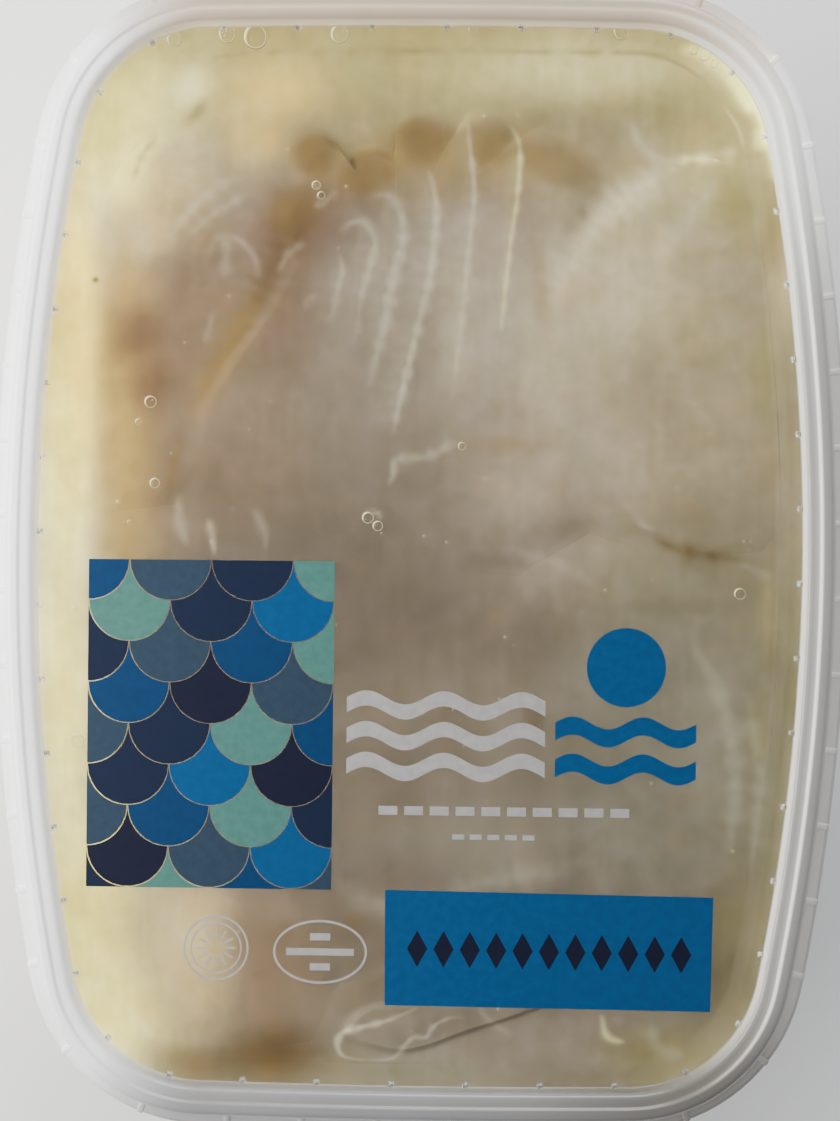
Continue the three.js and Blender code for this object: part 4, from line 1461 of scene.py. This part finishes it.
# %% Bubbles
BUBBLES = [
    (-39.9, 82.2, 1.1), (-31.4, 83.1, 1.25), (-26.9, 82.7, 1.75), (-13.5, 83.2, 1.3),
    (7.7, 84.0, 0.7), (31.3, 83.8, 1.2), (42.8, 80.9, 0.7), (44.6, 80.2, 0.9), (46.2, 79.0, 0.6),
    (-17.0, 59.2, 0.7), (-16.2, 57.6, 0.6), (-43.2, 24.4, 0.95), (-45.1, 21.2, 0.5),
    (-42.4, 11.4, 0.8), (-48.2, 8.3, 0.35), (-46.4, 5.1, 0.35), (-54.5, -30.1, 1.1),
    (-55.1, -9.1, 0.6), (-8.2, 6.2, 0.9), (-6.6, 4.9, 0.8), (6.7, 17.8, 0.6), (51.2, -5.3, 0.9),
    (2.0, -68.4, 0.6),
]
SPECKS, SPECK_RADII, SPECK_REACH = 90, (0.10, 0.26), (54, 78)
BAND_FROM = (56, 79.5)
BUBBLE_FLATNESS = 0.62
BUBBLE_GAP = 0.03
SMALL_RADIUS = 0.3
POLE_CAP = 0.02

chance = np.random.default_rng(7)
spots = np.column_stack([
    *(chance.uniform(-reach, reach, SPECKS) for reach in SPECK_REACH),
    chance.uniform(*SPECK_RADII, SPECKS),
])
print(len(BUBBLES), "bubbles and", SPECKS, "specks")

# %% Bubble shapes
CRESCENT_THIN, CRESCENT_THICK = 0.03, 0.13
CRESCENT_REACH, CRESCENT_RISE = 0.93, 0.2
LIGHT_FROM = 2.5


def crescent(middle, radius, sides, count):
    """A painted highlight: a closed tube round a bubble, thick towards the light and nearly
    nothing away from it.

    Its thickness is thin + thick cos(turn - light)^1.5, as shares of the radius."""
    turn = 2 * np.pi * np.arange(count) / count
    lit = np.clip(np.cos(turn - LIGHT_FROM), 0, 1) ** 1.5
    thick = radius * (CRESCENT_THIN + CRESCENT_THICK * lit)
    round_way = 2 * np.pi * np.arange(sides)[:, None] / sides
    reach = radius * CRESCENT_REACH + thick * np.cos(round_way)
    rise = thick * np.sin(round_way) + CRESCENT_RISE * radius
    return middle + np.stack([reach * np.cos(turn), reach * np.sin(turn), rise], axis=-1)


bubble_grids, crescents = [], []
for x, y, radius in BUBBLES + spots.tolist():
    below_band = abs(x) > BAND_FROM[0] or abs(y) > BAND_FROM[1]
    under = BAND_UNDER if below_band else PANEL_UNDER
    rings, sides = (7, 6) if radius < SMALL_RADIUS else (15, 9)
    half = BUBBLE_FLATNESS * radius
    middle = np.array([x, y, under - half - BUBBLE_GAP])
    bubble_grids.append(middle + ball(rings, 2 * rings, cap=POLE_CAP) * [radius, radius, half])
    crescents.append(crescent(middle, radius, sides, 4 * rings))

# %% Bubble finishes
BUBBLE_IOR = 1.30
bubble_material, tree, shader, where = new_material("bubble")
gloss = mottled(tree, where, 900.0, (0.3, (0.97, 0.96, 0.90)), (0.7, (1.0, 1.0, 0.97)))
wire(tree, shader, {
    "Base Color": gloss["Color"], "Transmission Weight": 1.0, "Roughness": 0.02, "IOR": BUBBLE_IOR,
})
let_shadows_through(bubble_material, tree, shader, (0.95, 0.95, 0.93))
place(surface("oil_bubbles", *bubble_grids), [], "cod", bubble_material)

# Painted highlight: the crescents are pale solid tubes for light caught at the bubbles' rims.
glint_material, tree, shader, where = new_material("bubble_glint")
glint = mottled(tree, where, 800.0, (0.3, (0.70, 0.64, 0.44)), (0.7, (0.88, 0.84, 0.66)))
wire(tree, shader, {"Base Color": glint["Color"], "Roughness": 0.3})
place(surface("bubble_glints", *crescents, join=True), [], "cod", glint_material)
